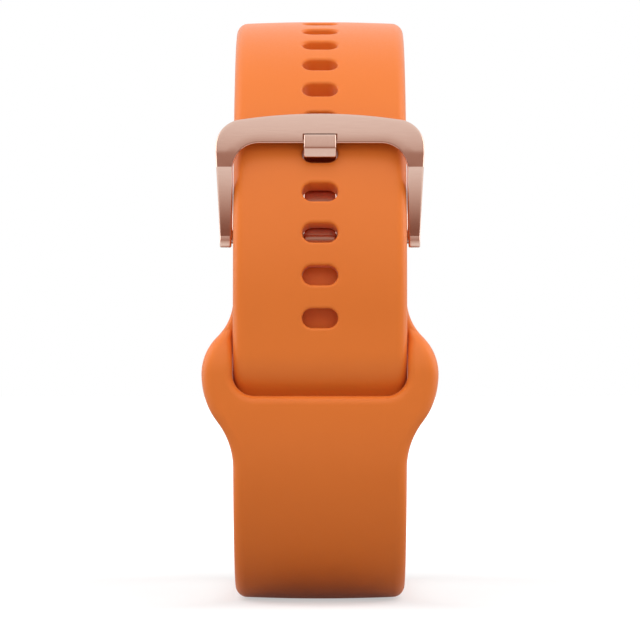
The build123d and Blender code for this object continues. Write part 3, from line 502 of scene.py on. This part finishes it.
def build_strap():
    """Foot, big bend and cheeks of the short half, down to the lower lug, as one skin.

    Rows run along the strap. Each row is a loop: outer skin from the window's edge (or from the middle block) out
    to a rounded edge, side, back, and the wall beside the free end. The lip is a full round where both skins meet.
    """
    foot_way = bend_y - heel_start_y
    place, begins = track(
        (-outer_path, centre_height + flare_top), -90,
        [(centre_height + flare_top - corner_radius, 0), ((corner_radius - half_thick) * np.pi / 2, 90),
         (-foot_way, 0), (heel_radius * np.radians(heel_turn), heel_turn)])
    pin_way = begins[-1]
    lip_way = centre_height + flare_top - lip_z
    back_line = inner_path - half_thick
    inner_x = window_half - lip_corner
    corner_rows = lip_way - lip_corner * (1 - np.sin(np.linspace(0, np.pi / 2, 11)))
    reach = flare_half_width - half_band
    cheek_rows = spaced(cheek_top, lip_way - lip_corner - 0.3, 0.35)
    lip_rows = lip_way + half_thick * arc_steps(8)[1:]
    lug = pin_way - lug_rows(8.0)[::-1]
    strap_rows = spaced(lip_rows[-1] + 0.3, lug[0] - 0.4, 0.5)
    rows = np.concatenate([cheek_rows, corner_rows, lip_rows, strap_rows, lug])
    s = rows[:, None]
    _, z, _, out_z = place(rows)
    face_z = (z + half_thick * out_z)[:, None]
    width = (lug_half_width(pin_way - rows)[:, None] + flare_width(face_z) - half_band)
    above_lip = rows < lip_way + 1e-6
    corner_x = inner_x + np.sqrt(np.maximum(lip_corner**2 - np.maximum(lip_z + lip_corner - z, 0)**2, 0))
    start = np.where(above_lip, corner_x, inner_x)[:, None]
    cheek = (width > window_half + 0.02) & (face_z > centre_height - flare_foot)
    wall_x = np.where(cheek, window_half, width - edge_inside)
    bend = np.clip((s - begins[1]) / (corner_radius - half_thick), 0, np.pi / 2)
    straight_back = (back_line + bend_y) / np.cos(np.minimum(bend, 1.2)) - corner_radius + half_thick
    back = np.where(cheek, np.minimum(straight_back, -half_thick), -half_thick)
    back_reach = np.where(cheek, np.clip(width - window_half, 0.02, edge_inside), edge_inside)
    set_back = two_arcs(face_z - (centre_height - flare_peak), flare_peak, layer_step)
    room = np.maximum(width - start, 0.02)
    edge = edge_outside + (flare_edge - edge_outside) * np.clip((width - half_band) / reach, 0, 1)
    edge_reach = np.minimum(edge, 0.5 * room)
    window_edge = np.minimum(half_thick - crown, 0.45 * room)

    def top_skin(x):
        gap = window_gap(x, face_z)
        level = lug_half_thick(pin_way - s) - crown * np.clip(np.abs(x) / half_band, 0, 1)**2 - set_back
        beside = quarter_round(gap, window_edge) * (gap < 3 * half_thick)
        return level - quarter_round(width - np.abs(x), edge) - beside

    def under_skin(x):
        gap = window_gap(x, face_z)
        level = -lug_half_thick(pin_way - s)
        beside = quarter_round(gap, half_thick) * (gap < 3)
        return level + quarter_round(width - np.abs(x), edge_inside) * ~cheek + beside

    near = window_edge * arc_steps(6)
    flat_start, flat_end = start + window_edge, width - edge_reach
    flat = flat_start + np.maximum(flat_end - flat_start, 0.001) * np.linspace(0, 1, 9)[1:]
    top = np.concatenate([start + near, flat, width - edge_reach * arc_steps(8)[::-1][1:]], 1)
    top_n = top_skin(top)
    side_x = width - back_reach * arc_steps(5)
    side_n = np.where(cheek, back + quarter_round(width - side_x, edge_inside), under_skin(side_x))
    wall_low, wall_high = side_n[:, -1:], np.minimum(-half_thick, top_n[:, :1])
    wall = wall_x + np.zeros(3)
    wall_n = np.where(cheek, wall_low + (wall_high - wall_low) * np.linspace(0, 1, 3), under_skin(wall))
    under = wall_x + (start - wall_x) * np.linspace(0, 1, 12)[1:]
    under_n = np.where(cheek, np.minimum(under_skin(under), top_n[:, :1]), under_skin(under))
    ended = pin_way - s < -tongue_radius + 1e-6
    grids = []
    for hand in (-1, 1):
        x = np.concatenate([top, side_x, wall, under], 1)
        n = np.concatenate([top_n, side_n, wall_n, under_n], 1)
        n = np.where(ended, 0, n)
        grids.append(lay(place, hand * x, s, n))
        inner_edge = np.stack([n[above_lip][:, -1], n[above_lip][:, 0]], 1)
        grids.append(lay(place, hand * start[above_lip], s[above_lip], inner_edge))
    middle = rows > lip_way - 1e-6
    x = inner_x * np.linspace(-1, 1, 25)
    for skin in (top_skin, under_skin):
        n = np.where(ended, 0, skin(x + 0 * s))
        grids.append(lay(place, x, s[middle], n[middle]))
    return grids


def build_inner_layer():
    """The short half behind the free end, up to the buckle's bar, with the fork that the tang's eye fills.

    Rows run down from the bar. Both ends are rounded, and the fork's walls join the two skins.
    """
    place, begins = track(
        tuple(pin_place), -90 - pin_angle, [(inner_path * np.radians(pin_angle), pin_angle), (dive_start, 0)])
    fork_half, fork_deep = tang_width / 2 + slot_clearance, tang_eye_radius + fork_clearance
    eye = -half_thick * np.cos(np.linspace(0, np.pi / 2, 8))
    before = spaced(0.2, fork_deep - 0.01, 0.3)
    after = np.concatenate([[fork_deep], spaced(fork_deep + 0.2, begins[-1] - 0.3, 0.4)])
    rows = np.concatenate([eye, before, after, begins[-1] - 0.25 * arc_steps(4)[::-1]])
    s = rows[:, None]
    z = place(rows)[1]
    width = flare_width(z)[:, None] - skin_gap
    round_end = np.where(s < 0, np.sqrt(np.maximum(1 - (s / half_thick)**2, 0)), 1)

    def skin(x, side):
        level = (half_thick - skin_gap) * np.where(side > 0, 1, -1)
        return (level - side * quarter_round(width - np.abs(x), edge_inside)) * round_end

    top = np.concatenate([fork_half + (width - edge_inside - fork_half) * np.linspace(0, 1, 10),
                          width - edge_inside * arc_steps(6)[::-1][1:]], 1)
    x = np.concatenate([top, top[:, ::-1]], 1)
    side = np.concatenate([np.ones(top.shape[1]), -np.ones(top.shape[1])])
    above, below = rows <= fork_deep + 1e-6, rows >= fork_deep - 1e-6
    grids = []
    for hand in (-1, 1):
        n = skin(x, side)
        grids.append(lay(place, hand * x, s, n))
        grids.append(lay(place, hand * fork_half, s[above], n[above][:, [-1, 0]]))
    x = fork_half * np.linspace(-1, 1, 7)
    for side in (1, -1):
        grids.append(lay(place, x, s[below], skin(x + 0 * s, side)[below]))
    fork_end = np.array([[fork_deep]])
    grids.append(lay(place, x, fork_end, (half_thick - skin_gap) * np.array([[1], [-1]])))
    full = np.concatenate([-top[-1][::-1], x[1:-1], top[-1]])
    grids.append(lay(place, full, rows[-1], np.array([[1], [-1]]) * np.abs(skin(full, 1)[-1])))
    return grids


# ================================================================ buckle
def turned(profile, axis, steps=48):
    """Ring about an axis along X: each point of the profile is a place across and a distance from the axis."""
    profile, turn = np.array(profile, float), np.linspace(0, 2 * np.pi, steps + 1)[:, None]
    x, radius = profile[:, 0] + 0 * turn, profile[:, 1]
    return np.stack([x, axis[0] + radius * np.cos(turn), axis[1] + radius * np.sin(turn)], -1)


def barrel_profile(start, end, radius, edge):
    """Half section of a cylinder with rounded edges, from its axis round to its axis."""
    turn = np.linspace(0, np.pi / 2, 7)
    first = np.stack([start + edge * (1 - np.sin(turn)), radius - edge * (1 - np.cos(turn))], -1)[::-1]
    last = np.stack([end - edge * (1 - np.sin(turn)), radius - edge * (1 - np.cos(turn))], -1)
    return np.concatenate([[[start, 0]], first, last, [[end, 0]]])


def bar_front(z):
    """Front of the buckle at a height.

    The arch over the band, then a bend that ends in the arms' crease, then the arms, which lean in to the feet on
    one long arc.
    """
    arch_foot = centre_height + bar_outside * np.sin(np.radians(face_bend_angle))
    high, low = np.radians(face_bend_angle), np.radians(face_low_tilt)
    bend = (arch_foot - crease_z) / (np.sin(high) - np.sin(low))
    arch = -np.sqrt(bar_outside**2 - (z - centre_height)**2)
    level = arch_foot - bend * np.sin(high)
    fall = np.sqrt(np.maximum(bend**2 - np.clip(z - level, 0, bend)**2, 0))
    bent = -bar_outside * np.cos(high) - fall + bend * np.cos(high)
    crease_y = -bar_outside * np.cos(high) - bend * (np.cos(low) - np.cos(high))
    drop, lean = crease_z - foot_face_z, foot_face_y - crease_y
    long_arc = (drop**2 + lean**2) / (2 * lean)
    way = np.clip(z - foot_face_z, 0, drop)
    arm = foot_face_y - long_arc + np.sqrt(long_arc**2 - way**2)
    return np.where(z > arch_foot, arch, np.where(z > crease_z, bent, arm))


def bar_back(z):
    """Back of the buckle at a height: the arch just clear of the band, then straight to the feet."""
    arch = -np.sqrt(bar_inside**2 - (z - centre_height)**2)
    share = (z - pin_place[1]) / (crease_z - pin_place[1])
    crease_y = -np.sqrt(bar_inside**2 - (crease_z - centre_height)**2)
    foot_y = pin_place[0] + foot_radius
    return np.where(z > crease_z, arch, foot_y + (crease_y - foot_y) * share)


def foot(hand):
    """End of an arm round the bar's tip: a short block with a ledge that faces up and out, and rounded edges."""
    section = foot_radius * np.array([
        [0.9, 0.5], [0.35, 0.9], [-0.48, 0.66], [-0.86, 0.04], [-0.9, -0.06], [-0.8, -0.66], [-0.62, -0.94],
        [-0.3, -1.0], [0.5, -0.95], [0.95, -0.5]])
    reach = np.linalg.norm(section, axis=1)[:, None]
    turn = np.linspace(0, np.pi / 2, 6)
    rise, fall = foot_edge * np.sin(turn), foot_edge * (1 - np.cos(turn))
    end = foot_half + foot_reach
    x = np.concatenate([[frame_half], frame_half + foot_edge - rise[::-1], end - foot_edge + rise, [end]])
    inset = np.concatenate([[3.0], fall[::-1], fall, [3.0]])
    rings = section * (1 - np.minimum(inset[:, None, None] / reach, 1))
    rings = np.concatenate([rings, rings[:, :1]], 1) + pin_place
    return [np.concatenate([np.broadcast_to(hand * x[:, None, None], rings.shape[:2] + (1,)), rings], -1)]


def build_buckle_frame():
    """Bar, corners and arms as one loft, whose stations run along an arm, round a corner and along half the bar.

    A station is a rounded rectangle from the inner outline to the outer one. In the tang's notch its front steps
    back.
    """
    arch_z = bar_top - bar_arch_radius
    corner_x = arm_half - corner_outside
    corner_z = arch_z + np.sqrt((bar_arch_radius - corner_outside)**2 - corner_x**2)
    turn_z = bar_top - arm_corner_drop
    foot_z = pin_place[1] + foot_radius - 3 * foot_radius
    sweep = np.linspace(np.pi, np.arctan2(corner_z - arch_z, -corner_x), 40)
    arch_x = np.linspace(-corner_x * bar_arch_radius / (bar_arch_radius - corner_outside), 0, 60)
    outer = np.concatenate([
        [[-foot_half, foot_z], [-arm_half, turn_z]],
        np.stack([-corner_x + corner_outside * np.cos(sweep), corner_z + corner_outside * np.sin(sweep)], -1),
        np.stack([arch_x, arch_z + np.sqrt(bar_arch_radius**2 - arch_x**2)], -1)])
    turn = np.linspace(np.pi, np.pi / 2, 40)
    inside_x, inside_z = arm_inside - corner_inside, bar_bottom - corner_inside
    inner = np.concatenate([
        [[-arm_inside, foot_z]],
        np.stack([-inside_x + corner_inside * np.cos(turn), inside_z + corner_inside * np.sin(turn)], -1),
        [[0, bar_bottom]]])

    def at_height(line, z):
        return np.stack([np.interp(z, line[:, 1], line[:, 0]), z], -1)

    def at_angle(line, angle):
        from_middle = np.arctan2(line[:, 1] - crease_z, line[:, 0] + inside_x)
        keep = (line[:, 1] > crease_z - 4) & (line[:, 0] < -inside_x + 4)
        order = np.argsort(-from_middle[keep])
        way = -from_middle[keep][order]
        return np.stack([np.interp(-angle, way, line[keep][order, k]) for k in (0, 1)], -1)

    def at_place(line, x):
        keep = line[:, 1] > bar_bottom - 0.01
        return np.stack([x, np.interp(x, line[keep][:, 0], line[keep][:, 1])], -1)

    heights = spaced(pin_place[1], crease_z, 0.25)
    angles = np.linspace(np.pi, np.pi / 2, 49)[1:]
    notch_half = tang_width / 2 + notch_clearance
    along = np.concatenate([spaced(-inside_x + 0.3, -notch_half, 0.4), spaced(-notch_half, 0, 0.3)])
    first = np.concatenate([at_height(inner, heights), at_angle(inner, angles), at_place(inner, along)])
    second = np.concatenate([at_height(outer, heights), at_angle(outer, angles), at_place(outer, along)])
    count = len(heights) + len(angles) + len(spaced(-inside_x + 0.3, -notch_half, 0.4))
    in_notch = (np.arange(len(first)) >= count)[:, None]
    first = np.concatenate([first, first[::-1] * (-1, 1)])[:, None, :]
    second = np.concatenate([second, second[::-1] * (-1, 1)])[:, None, :]
    in_notch = np.concatenate([in_notch, in_notch[::-1]])
    length = np.linalg.norm(second - first, axis=-1)

    t = np.linspace(0, np.pi / 2, 6)
    rise, fall = np.sin(t), 1 - np.cos(t)
    step = (notch_top_z - bar_bottom) * np.ones(2)
    bend = frame_edge
    across = np.concatenate([
        bend * (1 - rise[::-1]), step, np.full(23, np.nan), bend * (1 - rise)])
    across = across + 0 * length
    flat = step[0] + (length - bend - step[0]) * np.linspace(0, 1, 8)[1:]
    short = length - bend < step[0]
    across[:, 6:8] = np.where(short, bend + (length - 2 * bend) * 0.3, step)
    across[:, 8:15] = np.where(short, bend + (length - 2 * bend) * np.linspace(0.3, 1, 8)[1:], flat)
    across[:, 15:21] = length - bend + bend * rise
    across[:, 21:27] = length - bend + bend * rise[::-1]
    across[:, 27:31] = bend + (length - 2 * bend) * np.linspace(1, 0, 6)[1:-1]
    depth = np.concatenate([bend * fall[::-1], [0] * 9, bend * fall, bend * fall[::-1], [0] * 4, bend * fall])
    front = np.concatenate([np.ones(21), np.zeros(16)])
    spot = first + (second - first) * (across / length)[..., None]
    x, z = spot[..., 0], spot[..., 1]
    floor = -np.sqrt(rest_radius**2 - (z - centre_height)**2)
    face = np.where(in_notch & (np.arange(37) < 7), floor, bar_front(z))
    y = np.where(front > 0, face + depth, bar_back(z) - depth)
    loop = np.stack([x, y, z], -1)
    grids = [np.concatenate([loop, loop[:, :1]], 1)]
    for hand in (-1, 1):
        grids += foot(hand)
    make_piece("buckle_with_arms", grids, "buckle_frame", ["buckle_frame"], rose_gold,
               sharp_above=24.0)


def rounded_line(corners, radii, runs=8, arc=6):
    """Points on a line with rounded corners, with the same count for every line that has as many corners."""
    corners = np.array(corners, float)
    points, last = [], corners[0]
    share = np.linspace(0, 1, arc)[:, None]
    for before, corner, after, radius in zip(corners[:-2], corners[1:-1], corners[2:], radii):
        come, leave = [line / np.linalg.norm(line) for line in (corner - before, after - corner)]
        turn = np.arccos(np.clip(come @ leave, -1, 1))
        start, end = corner - come * radius * np.tan(turn / 2), corner + leave * radius * np.tan(turn / 2)
        bend = start + (end - start) * share
        if turn > 0.01:
            middle = corner + (leave - come) / np.linalg.norm(leave - come) * radius / np.cos(turn / 2)
            bend = (start - middle) * np.sin((1 - share) * turn) + (end - middle) * np.sin(share * turn)
            bend = middle + bend / np.sin(turn)
        points += [last + (bend[0] - last) * np.linspace(0, 1, runs)[:-1, None], bend]
        last = bend[-1]
    points.append(last + (corners[-1] - last) * np.linspace(0, 1, runs)[1:, None])
    return np.concatenate(points)


def build_tang():
    """Blade under the band, shank up through the used slot, pad in the bar's notch, and the eye round the bar.

    The side view is drawn unrolled, along the band and out from the loop's centre, then wound back on the loop.
    Outside the band the shank has a chin, whose face looks out and down.
    """
    along = loop_radius * np.radians([pin_angle, tang_rise_angle, tang_pad_angle])
    shank = along[1] + tang_thickness
    middle = (along[2] - 0.01, (pad_in + pad_out) / 2)
    chin = (along[1] - chin_drop, pad_out - chin_depth)
    lower = rounded_line([(along[0], blade_out), (along[1], blade_out), (along[1], chin[1] - neck_drop), chin,
                          (along[1] + face_lean, pad_out), (along[2], pad_out), middle],
                         (small_bend, small_bend, chin_bend, tang_heel, tang_edge))
    upper = rounded_line([(along[0], blade_in), (shank, blade_in), (shank, pad_in - 0.5), (shank, pad_in - 0.25),
                          (shank, pad_in), (along[2], pad_in), middle],
                         (tang_bend, small_bend, small_bend, small_bend, tang_edge))
    turn = np.linspace(0, np.pi / 2, 6)
    half = tang_width / 2
    sides = half - tang_edge + tang_edge * np.sin(turn)
    x = np.concatenate([-sides[::-1], np.linspace(-1, 1, 9)[1:-1] * sides[0], sides])
    inset = tang_edge * (1 - np.cos(turn))
    inset = np.concatenate([inset[::-1], np.zeros(7), inset])[:, None, None]
    rows = []
    for line, side in ((lower, 1), (upper, -1)):
        way = np.gradient(line, axis=0)
        way /= np.maximum(np.linalg.norm(way, axis=1), 1e-9)[:, None]
        away = side * np.stack([-way[:, 1], way[:, 0]], -1)
        rows.append(line - away * inset)
    loop = np.concatenate([rows[0], rows[1][:, ::-1]], 1)

    def wind(flat, x):
        angle = flat[..., 0] / loop_radius
        x = np.broadcast_to(x, angle.shape)
        return np.stack([x, -flat[..., 1] * np.cos(angle), centre_height + flat[..., 1] * np.sin(angle)], -1)

    outside = loop[..., 1] > loop_radius
    narrowed = 1 - quarter_round(np.maximum(loop[..., 0] - chin[0], 0), chin_corner) / half * outside
    grids = [wind(loop, x[:, None] * narrowed)]
    for end in (0, -1):
        grids.append(wind(np.stack([rows[0][end], rows[1][end]]), x[end]))
    eye = barrel_profile(-half, half, tang_eye_radius, 0.2)[1:-1]
    bore = [[half, bar_radius + bar_fit], [-half, bar_radius + bar_fit]]
    grids.append(turned(np.concatenate([eye, bore, eye[:1]]), pin_place))
    make_piece("tang_with_eye", grids, "buckle_tang", ["buckle_tang"], rose_tang, sharp_above=30.0)


# ================================================================ display
def stroke(left, bottom, width, height, corner=0.25):
    """Thin bar with rounded corners, in the display's x and z: rows from its middle round its front and back."""
    turn = np.linspace(0, np.pi / 2, 5)
    x, z = corner * np.cos(turn), corner * np.sin(turn)
    outline = np.concatenate([
        np.stack([left + width - corner + x, bottom + height - corner + z], -1),
        np.stack([left + corner - x[::-1], bottom + height - corner + z[::-1]], -1),
        np.stack([left + corner - x, bottom + corner - z], -1),
        np.stack([left + width - corner + x[::-1], bottom + corner - z[::-1]], -1)])
    outline = np.concatenate([outline, outline[:1]])
    centre = np.array([left + width / 2, bottom + height / 2]) + 0 * outline
    return np.stack([centre, outline, outline, centre])


def digit(value, left, bottom, width, height, pen):
    """Seven-bar digit."""
    half = height / 2
    bars = {"a": (0, height - pen, width, pen), "g": (0, half - pen / 2, width, pen), "d": (0, 0, width, pen),
            "f": (0, half - pen / 2, pen, half + pen / 2), "b": (width - pen, half - pen / 2, pen, half + pen / 2),
            "e": (0, 0, pen, half + pen / 2), "c": (width - pen, 0, pen, half + pen / 2)}
    lit = ["abcdef", "bc", "abged", "abgcd", "fgbc", "afgcd", "afgedc", "abc", "abcdefg", "abcfgd"][value]
    return [stroke(left + bars[key][0], bottom + bars[key][1], *bars[key][2:], corner=pen * 0.4) for key in lit]


def build_display():
    """Time in two rows of digits, with a row of progress marks, lit just under the glass's polish."""
    shapes = {"lit white": [], "lit orange": []}
    wide, high, pen, row_gap, column_gap, top_row = 5.2, 9.0, 1.15, 1.8, 1.4, 2.2
    marks, marks_orange, mark_pitch = 7, 5, 1.75
    for row, (tens, ones) in enumerate(((1, 0), (0, 9))):
        bottom = top_row - row * (high + row_gap)
        for column, value in enumerate((tens, ones)):
            left = -wide - column_gap / 2 + column * (wide + column_gap)
            shapes["lit white" if row == 0 else "lit orange"] += digit(value, left, bottom, wide, high, pen)
    for mark in range(marks):
        colour = "lit orange" if mark < marks_orange else "lit white"
        shapes[colour].append(stroke(-5.7 + mark * mark_pitch, -12.2, 0.9, 0.45, corner=0.2))
    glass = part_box("cover_glass")
    depth = float(glass[1][1]) / mm + np.array([0.015, 0.015, -0.02, -0.02])[:, None]
    for name, tone, strength in (("lit white", (0.9, 0.9, 0.9), 1.0), ("lit orange", (0.9, 0.22, 0.03), 1.0)):
        finish, _, shader, _ = new_finish(name)
        shader.inputs["Base Color"].default_value = (0.01, 0.01, 0.01, 1)
        shader.inputs["Emission Color"].default_value = (*tone, 1)
        shader.inputs["Emission Strength"].default_value = strength
        grids = []
        for number, shape in enumerate(shapes[name]):
            level = depth + stroke_step * (number % 7) + 0 * shape[..., 0]
            grids.append(np.stack([-shape[..., 0], level, case_z + shape[..., 1]], -1))
        make_piece(name.replace("lit ", "digits_"), grids, "watch", [], finish)


build_display()
build_long_half()
build_buckle_frame()
build_tang()
make_piece("band_with_loop", build_strap() + build_inner_layer(), "watch", ["band_short"],
           orange_silicone)


# ================================================================ studio
def chain(tree, operation, *values):
    """Maths on sockets and numbers, as one value."""
    node = tree.nodes.new("ShaderNodeMath")
    node.operation = operation
    for socket, value in zip(node.inputs, values):
        if isinstance(value, float):
            socket.default_value = value
        else:
            tree.links.new(value, socket)
    return node.outputs[0]


def graded(tree, value, start, end, low, high):
    """Smooth change from low to high while a value goes from start to end."""
    grade = tree.nodes.new("ShaderNodeMapRange")
    grade.interpolation_type = "SMOOTHSTEP"
    for name, number in (("From Min", start), ("From Max", end), ("To Min", low), ("To Max", high)):
        grade.inputs[name].default_value = number
    tree.links.new(value, grade.inputs["Value"])
    return grade.outputs["Result"]


def warm(tree, level):
    """Colour of light at a level: white at 1, warmer as it dims."""
    colour = tree.nodes.new("ShaderNodeCombineColor")
    for name, power in (("Red", 1.0), ("Green", 1.6), ("Blue", 1.85)):
        tree.links.new(chain(tree, "POWER", level, power), colour.inputs[name])
    return colour.outputs["Color"]


def build_floor():
    """White floor that keeps a soft shadow.

    Its glow is for the camera and rays through glass, and adds no diffuse light to the object. Mirrored, the floor
    dims with the distance in front of the object and is darker close round it, a painted shadow of the object.
    """
    bpy.ops.mesh.primitive_plane_add(size=3.0, location=(0, 0, 0))
    floor = bpy.context.object
    floor.name = "floor"
    finish, tree, shader, place = new_finish("white floor")
    shader.inputs["Base Color"].default_value = (floor_pale, floor_pale, floor_pale, 1)
    shader.inputs["Roughness"].default_value = 0.9
    shader.inputs["Specular IOR Level"].default_value = 0.0
    rays = tree.nodes.new("ShaderNodeLightPath").outputs
    away = tree.nodes.new("ShaderNodeVectorMath")
    away.operation = "LENGTH"
    split = tree.nodes.new("ShaderNodeSeparateXYZ")
    tree.links.new(place, away.inputs[0])
    tree.links.new(place, split.inputs[0])
    glow, add = tree.nodes.new("ShaderNodeEmission"), tree.nodes.new("ShaderNodeAddShader")
    seen = chain(tree, "MAXIMUM", rays["Is Camera Ray"], rays["Is Transmission Ray"])
    white = graded(tree, away.outputs["Value"], glow_start, glow_full, floor_glow, 1.0)
    tree.links.new(chain(tree, "MULTIPLY", seen, white), glow.inputs["Strength"])
    tree.links.new(shader.outputs[0], add.inputs[0])
    tree.links.new(glow.outputs[0], add.inputs[1])
    mirrored, pick = tree.nodes.new("ShaderNodeEmission"), tree.nodes.new("ShaderNodeMixShader")
    ahead = chain(tree, "MAXIMUM", chain(tree, "MULTIPLY", split.outputs["Y"], -1.0), mirror_near)
    level = chain(tree, "ADD", chain(tree, "DIVIDE", mirror_share, ahead), mirror_least)
    # painted shadow: the mirrored glow is dimmed close round the object
    near = graded(tree, away.outputs["Value"], mirrored_shadow_start, mirrored_shadow_end, mirrored_shadow_level, 1.0)
    level = chain(tree, "MULTIPLY", level, near)
    tree.links.new(warm(tree, level), mirrored.inputs["Color"])
    tree.links.new(rays["Is Glossy Ray"], pick.inputs[0])
    tree.links.new(add.outputs[0], pick.inputs[1])
    tree.links.new(mirrored.outputs[0], pick.inputs[2])
    tree.links.new(pick.outputs[0], tree.nodes["Material Output"].inputs["Surface"])
    floor.data.materials.append(finish)


def build_studio():
    """White surroundings, at sky_level on the object and dim in mirrors in front of it, and broad soft lamps."""
    world = bpy.data.worlds.new("studio")
    bpy.context.scene.world = world
    world.use_nodes = True
    tree = world.node_tree
    light = tree.nodes["Background"]
    rays = tree.nodes.new("ShaderNodeLightPath").outputs
    direction = tree.nodes.new("ShaderNodeSeparateXYZ")
    tree.links.new(tree.nodes.new("ShaderNodeTexCoord").outputs["Generated"], direction.inputs[0])
    front = graded(tree, direction.outputs["Y"], 0.0, -0.25, 0.0, 1.0)
    height = chain(tree, "ABSOLUTE", direction.outputs["Z"])
    shade = chain(tree, "MULTIPLY", front, graded(tree, height, 0.79, 0.97, 1 - room_level, 0.02))
    shade = chain(tree, "ADD", shade, chain(tree, "MULTIPLY", front, graded(tree, height, 0.0, 0.25, 0.22, 0.0)))
    room = chain(tree, "SUBTRACT", 1.0, chain(tree, "MULTIPLY", shade, rays["Is Glossy Ray"]))
    tree.links.new(warm(tree, room), light.inputs["Color"])
    mirrored = chain(tree, "MAXIMUM", rays["Is Glossy Ray"], rays["Is Transmission Ray"])
    seen = chain(tree, "MAXIMUM", rays["Is Camera Ray"], mirrored)
    tree.links.new(graded(tree, seen, 0.0, 1.0, sky_level, 1.0), light.inputs["Strength"])

    for name, spot, aim, size, power, in_mirrors in lamps:
        lamp = bpy.data.lights.new(name, "AREA")
        lamp.shape = "RECTANGLE"
        lamp.size, lamp.size_y = size
        lamp.energy = power
        holder = bpy.data.objects.new(name, lamp)
        holder.location = spot
        holder.visible_glossy = in_mirrors
        to = np.array(aim, float) - np.array(spot, float)
        holder.rotation_euler = (np.arctan2(np.hypot(to[0], to[1]), -to[2]), 0, np.arctan2(to[0], -to[1]) + np.pi)
        bpy.context.scene.collection.objects.link(holder)


def build_camera():
    """Level camera on the buckle side, far enough back for a flat, catalogue-like view."""
    lens = bpy.data.cameras.new("camera")
    lens.lens = camera_lens
    lens.clip_start = 0.01
    holder = bpy.data.objects.new("camera", lens)
    holder.location = camera_place
    holder.rotation_euler = (np.pi / 2, 0, 0)
    bpy.context.scene.collection.objects.link(holder)
    bpy.context.scene.camera = holder


build_floor()
build_studio()
build_camera()
bpy.context.scene.view_settings.view_transform = "Standard"
